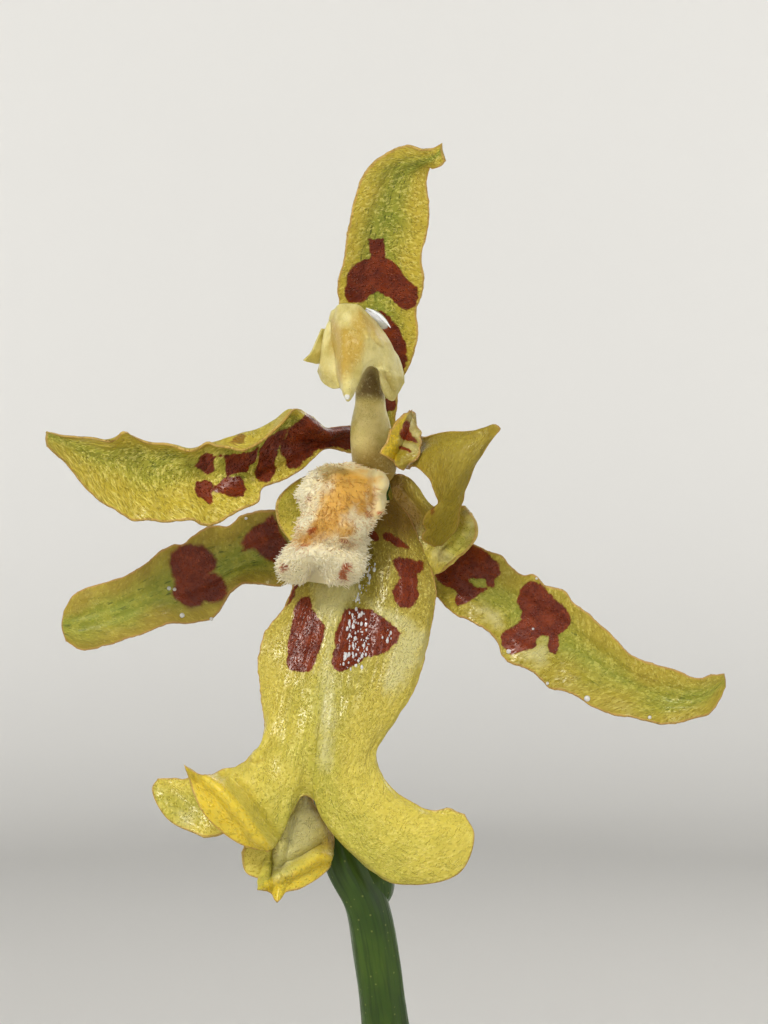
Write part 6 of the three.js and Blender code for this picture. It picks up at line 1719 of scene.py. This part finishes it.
def callus_finish(look):
    """The hairy cushion: cream, orange in its upper middle, rusty in places, paler at the hairs' tips."""
    f = Finish("callus_flesh", Specular_IOR_Level=0.3, Subsurface_Weight=0.3, Subsurface_Scale=0.0003)
    f.shader.inputs["Subsurface Radius"].default_value = (1.0, 0.8, 0.5)
    broad, fine = f.noise(1.6, 3), f.noise(6.0, 3, rough=0.65)
    shift = (broad - 0.5) * 1.2
    tips = f.step(f.read("up_hair"), 0.3, 1.0, 0, 0.5)
    colour = f.blend(tips, look.callus, tone(255, 252, 232))
    colour = f.blend(f.step(f.read("bare"), -0.15, 0.15, 0, 0.6), colour, tone(206, 184, 110))
    colour = f.blend(f.step(f.read("orange") + shift, -0.35, 0.3, 0, 0.9), colour, tone(220, 160, 44))
    colour = f.blend(f.step(f.read("grey") + shift, -0.2, 0.2, 0, 0.7), colour, tone(140, 120, 62))
    tinted = f.step(f.read("tint"), 0.55, 0.75) * f.step(f.read("orange"), -0.7, -0.1)
    colour = f.blend(tinted * 0.6, colour, tone(206, 136, 36))
    colour = f.blend(f.step(f.read("rust") + shift * 0.15, -0.06, 0.06, 0, 0.9), colour, tone(178, 76, 14))
    return f.done(colour, f.step(fine, 0.3, 0.7, 0.3, 0.5), f.bump(fine, 0.04, 0.8))


def callus_point(row, angle):
    """A point of the callus at an angle round a row: 0 at its right edge, a quarter turn on at its front."""
    bulge = 1 + 0.06 * np.cos(3 * angle + 4 * row[..., 0])
    up, left, right, front = np.moveaxis(row, -1, 0)
    across = left + (right - left) * (0.5 + 0.5 * np.cos(angle) * bulge)
    depth = CALLUS_BACK + (front - CALLUS_BACK) * (0.5 + 0.5 * np.sin(angle) * bulge)
    up = up + 0.5 * np.exp(-(((across + 2.45) / 0.3) ** 2)) * smooth(up, -1.8, -2.5)
    points = sight(np.stack([across, up, depth], -1).reshape(-1, 3)).reshape(*np.shape(across), 3)
    lumps = 0.1 * rumple(points, 0.9, 41) + 0.07 * rumple(points, 0.4, 42)
    return folded(points, FOLDS["callus"]) + unit(points - BLOOM_CENTRE - CALLUS_HEART) * lumps[..., None]


def inside_marks(points, outlines):
    """How far points of the bloom lie inside the nearest of some outlines of the view."""
    return marked(points, {"any": outlines})["any"]


def build_callus(look):
    draw = np.random.default_rng(5)
    sides, rows = 96, 90
    share = np.linspace(0, 1, rows)
    angle = np.arange(sides) / sides * TURN
    row = spline(CALLUS_ROWS, share)[:, None] + np.zeros((1, sides, 1))
    points = callus_point(row, angle[None] + 0 * row[..., 0])
    caps = [np.arange(sides)[None, ::-1], np.arange(sides)[None] + (rows - 1) * sides]
    faces = turned_out(points, [grid_faces(rows, sides, closed=True), *caps])
    marks = MARKS["callus"]
    shape = Shape().add(points, faces, grain=points - BLOOM_CENTRE, **marked(points, marks))
    count = look.hair_count
    where, turn = draw.uniform(0, 1, count), np.pi * draw.uniform(-0.08, 1.08, count)
    row_at = spline(CALLUS_ROWS, where)
    roots = callus_point(row_at, turn)
    kept = inside_marks(roots, marks["bare"]) < draw.uniform(-0.1, 0.15, count)
    roots, turn, where, row_at = roots[kept], turn[kept], where[kept], row_at[kept]
    count = len(roots)
    rise = 0.5 * (draw.uniform(0, 1, count) - 0.5) - 0.6 * (where - 0.4)
    out = np.stack([1.6 * np.cos(turn), -2 * np.sin(turn), rise], -1)
    clump = np.stack([rumple(roots, 0.32, seed) for seed in (44, 45, 46)], -1)
    out = unit(unit(out) + 0.55 * clump + draw.normal(0, 0.22, (count, 3)))
    long = look.hair_length / MM
    length = long * draw.uniform(0.55, 1.25, count) * np.where(row_at[:, 0] < -0.9, 1.15, 0.85)
    bend = draw.normal(0, 0.35, (count, 3)) + (0, 0, -0.15)
    roots = roots - out * 0.06
    add_hairs(shape, roots, out, length, draw.uniform(0.018, 0.032, count), bend,
              grain=roots - BLOOM_CENTRE, tint=draw.uniform(0, 1, count), **marked(roots, marks))
    shape.placed("lip_callus", callus_finish(look), ["lip_callus"], "callus")


def glint_white_water_finish():
    """Water made near-white in its base colour: a painted highlight standing in for the glints the drops
    catch.
    """
    f = Finish("dew", Transmission_Weight=0.4, IOR=1.33)
    return f.done((0.98, 0.99, 1.0), f.step(f.noise(3.0, 2), 0.3, 0.7, 0.01, 0.03))


# Dew on the bloom: the piece it lies on, across and up in the view, and its radius
DROPS = [
    ("lateral_sepal_right", 4.46, -5.02, 0.09), ("lateral_sepal_right", 5.4, -4.2, 0.05),
    ("lateral_sepal_right", 5.88, -6.15, 0.06), ("lateral_sepal_right", 7.32, -6.74, 0.11),
    ("lateral_sepal_right", 9.6, -7.4, 0.07), ("lateral_sepal_right", 5.46, -2.36, 0.05),
    ("lateral_sepal_left", -7.3, -3.75, 0.09), ("lateral_sepal_left", -7.75, -2.75, 0.08),
    ("lateral_sepal_left", -7.56, -2.82, 0.07), ("lateral_sepal_left", -6.2, -3.98, 0.07),
    ("lateral_sepal_left", -4.97, -0.2, 0.06), ("column", -1.33, 4.15, 0.1),
]
# A drop's depth as a share of its width, how far a bead on the lip runs down, and what counts as large
DROP_DEPTH, BEAD_RUN, LARGE_DROP = 0.62, 1.9, 0.08
# The lens of water between the hood and the dorsal sepal: where it is, its half sizes and how it leans
LENS_PLACE, LENS_SIZE, LENS_LEAN = (-0.28, 6.95, -1.2), (0.52, 1.1, 0.26), 0.65
# The painted highlight on the rim of that water, a near-white streak, as across, up and half its width, and
# its depth
GLEAM = [(-0.66, 7.35, 0.01), (-0.4, 7.22, 0.05), (-0.12, 7.02, 0.07), (0.1, 6.8, 0.06), (0.25, 6.62, 0.01)]
GLEAM_DEPTH = -2.1


# Where beads may lie on the lip, across and up, how many are drawn, their least size and the range above it
BEAD_FIELD = ((-1.6, 1.0), (-5.7, -1.9))
BEAD_COUNT = 640
BEAD_SIZE, BEAD_RANGE = 0.014, 0.045


def wet_beads():
    """Fine near-white beads of water, painted glints, scattered over the wet patches of the lip, in the
    manner of DROPS.
    """
    draw = np.random.default_rng(9)
    places = np.stack([draw.uniform(*reach, BEAD_COUNT) for reach in BEAD_FIELD], -1)
    inside = np.max([inside_by(outline, places) for outline in MARKS["lip"]["wet"]], axis=0) > -0.02
    sizes = BEAD_SIZE + BEAD_RANGE * draw.uniform(0, 1, BEAD_COUNT) ** 2
    return [("lip", *place, size) for place, size in zip(places[inside], sizes[inside])]


def build_dew():
    shape = Shape()
    for name, across, up, radius in DROPS + wet_beads():
        ball, ball_faces = box_skin(8 if radius > LARGE_DROP else 2)
        ball = unit(ball)
        faces = [skin.reshape(-1, 3) for skin in SKINS[name]]
        front = min(faces, key=lambda skin: skin[np.abs(in_view(skin) - (across, up)).sum(-1).argmin()][1])
        root = front[np.abs(in_view(front) - (across, up)).sum(-1).argmin()]
        drop = ball * radius * (1.0, DROP_DEPTH, BEAD_RUN if name == "lip" else 1.0)
        shape.add(drop + root + (0, -0.2 * radius, 0), [ball_faces], grain=drop)
    points, faces = box_skin(12)
    lens = (unit(points) * LENS_SIZE) @ turning(0, LENS_LEAN, 0).T
    shape.add(lens + sight([LENS_PLACE])[0], [faces], grain=lens)
    # The drops, the beads and the lens take the near-white water: painted highlights
    shape.placed("dew", glint_white_water_finish(), slot="tepal")
    # A painted highlight: a near-white streak standing in for the crescent of light on the water lens
    gleam = Shape()
    add_stem(gleam, sight([(across, up, GLEAM_DEPTH) for across, up, _ in GLEAM]),
             [half for *_, half in GLEAM], 40, 14)
    f = Finish("dew_gleam", Specular_IOR_Level=0.6)
    finish = f.done(tone(246, 250, 255), f.step(f.noise(3.0, 2), 0.3, 0.7, 0.05, 0.2))
    gleam.placed("dew_gleam", finish, slot="tepal")


# Stage


def stage_finish(pale):
    """Matt paper, very slightly uneven."""
    f = Finish("paper", Specular_IOR_Level=0.1)
    place = f.node("ShaderNodeTexCoord").outputs["Object"]
    colour = f.blend(f.noise(0.8, 2, place), pale, tone(226, 224, 219))
    return f.done(colour, f.step(f.noise(40, 2, place), 0, 1, 0.9, 1.0))


def build_floor(settings):
    """A floor that curves up into a wall all round, far outside the views."""
    radius = settings.floor_radius / MM
    profile = np.array([(0.5, 0)] + [(radius * s, 0) for s in (0.02, 0.1, 0.3, 0.5)]
                       + [(radius * (0.5 + 0.5 * math.sin(a)), radius * 0.5 * (1 - math.cos(a)))
                          for a in np.linspace(0.1, 1.5, 20)])
    sides = 96
    angle = np.arange(sides) / sides * TURN
    points = np.stack([profile[:, :1] * np.cos(angle), profile[:, :1] * np.sin(angle),
                       profile[:, 1:] * np.ones(sides)], -1)
    faces = [grid_faces(len(profile), sides, closed=True), np.arange(sides)[None, ::-1]]
    mesh = bpy.data.meshes.new("floor")
    mesh.from_pydata((points.reshape(-1, 3) * MM).tolist(), [], [f.tolist() for part in faces for f in part])
    mesh.shade_smooth()
    mesh.materials.append(stage_finish(settings.floor))
    floor = bpy.data.objects.new("floor", mesh)
    bpy.context.scene.collection.objects.link(floor)


def add_light(name, place, aim, size, power, colour):
    light = bpy.data.lights.new(name, "AREA")
    light.shape, light.size, light.energy, light.color = "DISK", size, power, colour
    lamp = bpy.data.objects.new(name, light)
    lamp.location = place
    lamp.rotation_euler = (Vector(aim) - Vector(place)).to_track_quat("-Z", "Y").to_euler()
    lamp.visible_camera = False
    bpy.context.scene.collection.objects.link(lamp)


WALL_LIGHTS = 6


def build_stage(settings):
    build_floor(settings)
    aim = (0, -0.01, 0.09)
    add_light("key", (-0.55, -1.35, 1.3), aim, 0.5, settings.key_power, (1.0, 0.97, 0.92))
    add_light("fill", (1.5, -0.9, 0.6), aim, 1.2, settings.key_power * 0.12, (0.93, 0.96, 1.0))
    add_light("back", (0.7, 1.5, 1.1), aim, 0.8, settings.key_power * 0.3, (1.0, 0.98, 0.95))
    for i in range(WALL_LIGHTS):
        angle = i * TURN / WALL_LIGHTS
        ahead = Vector((math.cos(angle), math.sin(angle), 0))
        add_light(f"wall_{i}", ahead * 1.9 + Vector((0, 0, 0.9)), ahead * 4 + Vector((0, 0, 0.7)), 1.0,
                  settings.wall_power, (1.0, 1.0, 1.0))
    world = bpy.data.worlds.new("studio")
    world.use_nodes = True
    world.node_tree.nodes["Background"].inputs["Color"].default_value = (0.9, 0.92, 0.95, 1)
    world.node_tree.nodes["Background"].inputs["Strength"].default_value = settings.sky
    bpy.context.scene.world = world
    bpy.context.scene.view_settings.view_transform = "Standard"
    camera = bpy.data.cameras.new("view")
    camera.sensor_width = 36
    camera.lens = camera.sensor_width * VIEW_DISTANCE / VIEW_HEIGHT
    camera.clip_start, camera.clip_end = 0.01, 60
    viewer = bpy.data.objects.new("view", camera)
    viewer.location = (BLOOM_CENTRE - (0, VIEW_DISTANCE, 0)) * MM
    viewer.rotation_euler = (math.pi / 2, 0, 0)
    bpy.context.scene.collection.objects.link(viewer)
    bpy.context.scene.camera = viewer


# Settings


def colour_setting(name, description, default):
    return bpy.props.FloatVectorProperty(name=name, description=description, default=default, subtype="COLOR",
                                         size=3, min=0, max=1)


def length_setting(name, description, default):
    return bpy.props.FloatProperty(name=name, description=description, default=default, unit="LENGTH",
                                   min=0, precision=5)


class OrchidPot(bpy.types.PropertyGroup):
    """The pot, its bark and its moss"""
    clay: colour_setting("Clay", "Colour of the fired clay", tone(184, 104, 66))
    weathering: bpy.props.FloatProperty(name="Weathering", description="How chalky the clay has become",
                                        default=0.55, min=0, max=1, subtype="FACTOR")
    dark: colour_setting("Bark", "Colour of the darkest chips", tone(84, 48, 30))
    moss: colour_setting("Moss", "Colour of the moss at its roots", tone(70, 96, 34))
    chip_length: length_setting("Chip length", "Length of a middling bark chip", 0.012)
    chip_count: bpy.props.IntProperty(name="Chips", description="How many chips lie on the bark's top",
                                      default=120, min=12, max=200)
    moss_tufts: bpy.props.IntProperty(name="Moss tufts", description="How many tufts grow between the chips",
                                      default=26, min=1, max=80)


class OrchidPlant(bpy.types.PropertyGroup):
    """The plant under its bloom"""
    bulb: colour_setting("Pseudobulb", "Colour of the pseudobulbs", tone(116, 148, 62))
    leaf: colour_setting("Leaf", "Colour of the leaves", tone(70, 122, 42))
    sheath: colour_setting("Sheath", "Colour of the dry sheaths and bracts", tone(182, 156, 108))
    root: colour_setting("Root", "Colour of the dry root skin", tone(184, 182, 158))
    stalk: colour_setting("Spike", "Colour of the flower spike", tone(92, 122, 44))
    pedicel: colour_setting("Pedicel", "Colour of the bloom's own stalk", tone(46, 72, 12))
    leaf_thickness: length_setting("Leaf thickness", "Thickness of a leaf at its keel", 0.00055)


class OrchidBloom(bpy.types.PropertyGroup):
    """The bloom"""
    yellow: colour_setting("Yellow", "Colour of the tepals' margins", tone(190, 170, 58))
    green: colour_setting("Green", "Colour down the middle of the tepals", tone(130, 144, 46))
    lip: colour_setting("Lip", "Colour of the lip", tone(213, 196, 82))
    spot: colour_setting("Spots", "Colour of the spots", tone(98, 34, 15))
    rim: colour_setting("Rim", "Colour of the tepals' thin rim", tone(190, 142, 92))
    column: colour_setting("Column", "Colour of the column and its hood", tone(232, 218, 148))
    callus: colour_setting("Callus", "Colour of the hairy callus", tone(252, 240, 198))
    blade_thickness: length_setting("Blade thickness", "Thickness of a tepal at its middle", 0.00022)
    hair_length: length_setting("Hair length", "Length of a middling hair of the callus", 0.00017)
    hair_count: bpy.props.IntProperty(name="Hairs", description="How many hairs stand on the callus",
                                      default=5200, min=100, max=9000)


class OrchidStage(bpy.types.PropertyGroup):
    """The floor, the lights and the camera"""
    floor: colour_setting("Floor", "Colour of the floor", tone(235, 233, 228))
    floor_radius: length_setting("Floor radius", "Where the floor has become a wall", 4.0)
    key_power: bpy.props.FloatProperty(name="Key light", description="Power of the main light", default=22,
                                       min=0, unit="POWER")
    wall_power: bpy.props.FloatProperty(name="Wall lights", description="Power of each light on the wall",
                                        default=24, min=0, unit="POWER")
    sky: bpy.props.FloatProperty(name="Sky", description="Strength of the light from all round", default=0.32,
                                 min=0, max=5)


# Operators


class ORCHID_OT_stage(bpy.types.Operator):
    """Set up the pale floor, the soft lights and the camera"""
    bl_idname, bl_label = "orchid.stage", "Stage"

    def execute(self, context):
        build_stage(context.scene.orchid_stage)
        return {"FINISHED"}


class ORCHID_OT_pot(bpy.types.Operator):
    """Turn the terracotta pot and cut its drain holes"""
    bl_idname, bl_label = "orchid.pot", "Pot"

    def execute(self, context):
        build_pot(context.scene.orchid_pot)
        return {"FINISHED"}


class ORCHID_OT_bark(bpy.types.Operator):
    """Fill the pot with bark chips, with moss between them"""
    bl_idname, bl_label = "orchid.bark", "Bark and moss"

    def execute(self, context):
        build_bark(context.scene.orchid_pot)
        return {"FINISHED"}


class ORCHID_OT_roots(bpy.types.Operator):
    """Lay the rhizome and its roots over the bark"""
    bl_idname, bl_label = "orchid.roots", "Rhizome and roots"

    def execute(self, context):
        build_roots(context.scene.orchid_plant)
        return {"FINISHED"}


class ORCHID_OT_pseudobulbs(bpy.types.Operator):
    """Stand the three furrowed pseudobulbs in the bark"""
    bl_idname, bl_label = "orchid.pseudobulbs", "Pseudobulbs"

    def execute(self, context):
        build_bulbs(context.scene.orchid_plant)
        return {"FINISHED"}


class ORCHID_OT_leaves(bpy.types.Operator):
    """Grow the six folded leaves"""
    bl_idname, bl_label = "orchid.leaves", "Leaves"

    def execute(self, context):
        build_leaves(context.scene.orchid_plant)
        return {"FINISHED"}


class ORCHID_OT_sheaths(bpy.types.Operator):
    """Wrap the torn dry sheaths round the pseudobulbs"""
    bl_idname, bl_label = "orchid.sheaths", "Dry sheaths"

    def execute(self, context):
        build_sheaths(context.scene.orchid_plant)
        return {"FINISHED"}


class ORCHID_OT_spike(bpy.types.Operator):
    """Grow the flower spike with its bracts and the bloom's pedicel"""
    bl_idname, bl_label = "orchid.spike", "Spike, bracts and pedicel"

    def execute(self, context):
        settings = context.scene.orchid_plant
        build_spike(settings)
        build_bracts(settings)
        build_pedicel(settings)
        return {"FINISHED"}


class ORCHID_OT_sepals(bpy.types.Operator):
    """Spread the three spotted sepals"""
    bl_idname, bl_label = "orchid.sepals", "Sepals"

    def execute(self, context):
        build_sepals(context.scene.orchid_bloom)
        return {"FINISHED"}


class ORCHID_OT_petals(bpy.types.Operator):
    """Spread the two petals, the right one turned over"""
    bl_idname, bl_label = "orchid.petals", "Petals"

    def execute(self, context):
        build_petals(context.scene.orchid_bloom)
        return {"FINISHED"}


class ORCHID_OT_lip(bpy.types.Operator):
    """Spread the lip with its lobes and its folded foot"""
    bl_idname, bl_label = "orchid.lip", "Lip"

    def execute(self, context):
        build_lip(context.scene.orchid_bloom)
        return {"FINISHED"}


class ORCHID_OT_column(bpy.types.Operator):
    """Stand the column with its hood and wing"""
    bl_idname, bl_label = "orchid.column", "Column"

    def execute(self, context):
        build_column(context.scene.orchid_bloom)
        return {"FINISHED"}


class ORCHID_OT_callus(bpy.types.Operator):
    """Lay the hairy callus on the lip"""
    bl_idname, bl_label = "orchid.callus", "Callus"

    def execute(self, context):
        build_callus(context.scene.orchid_bloom)
        return {"FINISHED"}


class ORCHID_OT_dew(bpy.types.Operator):
    """Set drops of dew on the sepals, which have to be there first"""
    bl_idname, bl_label = "orchid.dew", "Dew"

    def execute(self, context):
        if not SKINS:
            raise RuntimeError("the sepals come before the dew that lies on them")
        build_dew()
        return {"FINISHED"}


OPERATORS = (ORCHID_OT_stage, ORCHID_OT_pot, ORCHID_OT_bark, ORCHID_OT_roots, ORCHID_OT_pseudobulbs,
             ORCHID_OT_leaves, ORCHID_OT_sheaths, ORCHID_OT_spike, ORCHID_OT_sepals, ORCHID_OT_petals,
             ORCHID_OT_lip, ORCHID_OT_column, ORCHID_OT_callus, ORCHID_OT_dew)
GROUPS = {"orchid_pot": OrchidPot, "orchid_plant": OrchidPlant, "orchid_bloom": OrchidBloom,
          "orchid_stage": OrchidStage}


class ORCHID_PT_panel(bpy.types.Panel):
    """Lists the settings and the pieces in the 3D view's sidebar"""
    bl_idname, bl_label = "ORCHID_PT_panel", "Potted oncidium"
    bl_space_type, bl_region_type, bl_category = "VIEW_3D", "UI", "Orchid"

    def draw(self, context):
        for name, group in GROUPS.items():
            box = self.layout.box()
            box.label(text=group.__doc__)
            for key in group.__annotations__:
                box.prop(getattr(context.scene, name), key)
        for operator in OPERATORS:
            self.layout.operator(operator.bl_idname)


CLASSES = (*GROUPS.values(), *OPERATORS, ORCHID_PT_panel)


def register():
    for kind in CLASSES:
        bpy.utils.register_class(kind)
    for name, group in GROUPS.items():
        setattr(bpy.types.Scene, name, bpy.props.PointerProperty(type=group))


def unregister():
    for name in GROUPS:
        delattr(bpy.types.Scene, name)
    for kind in reversed(CLASSES):
        bpy.utils.unregister_class(kind)


def main():
    register()
    for operator in OPERATORS:
        getattr(bpy.ops.orchid, operator.bl_idname.split(".")[1])()


if __name__ == "__main__":
    main()
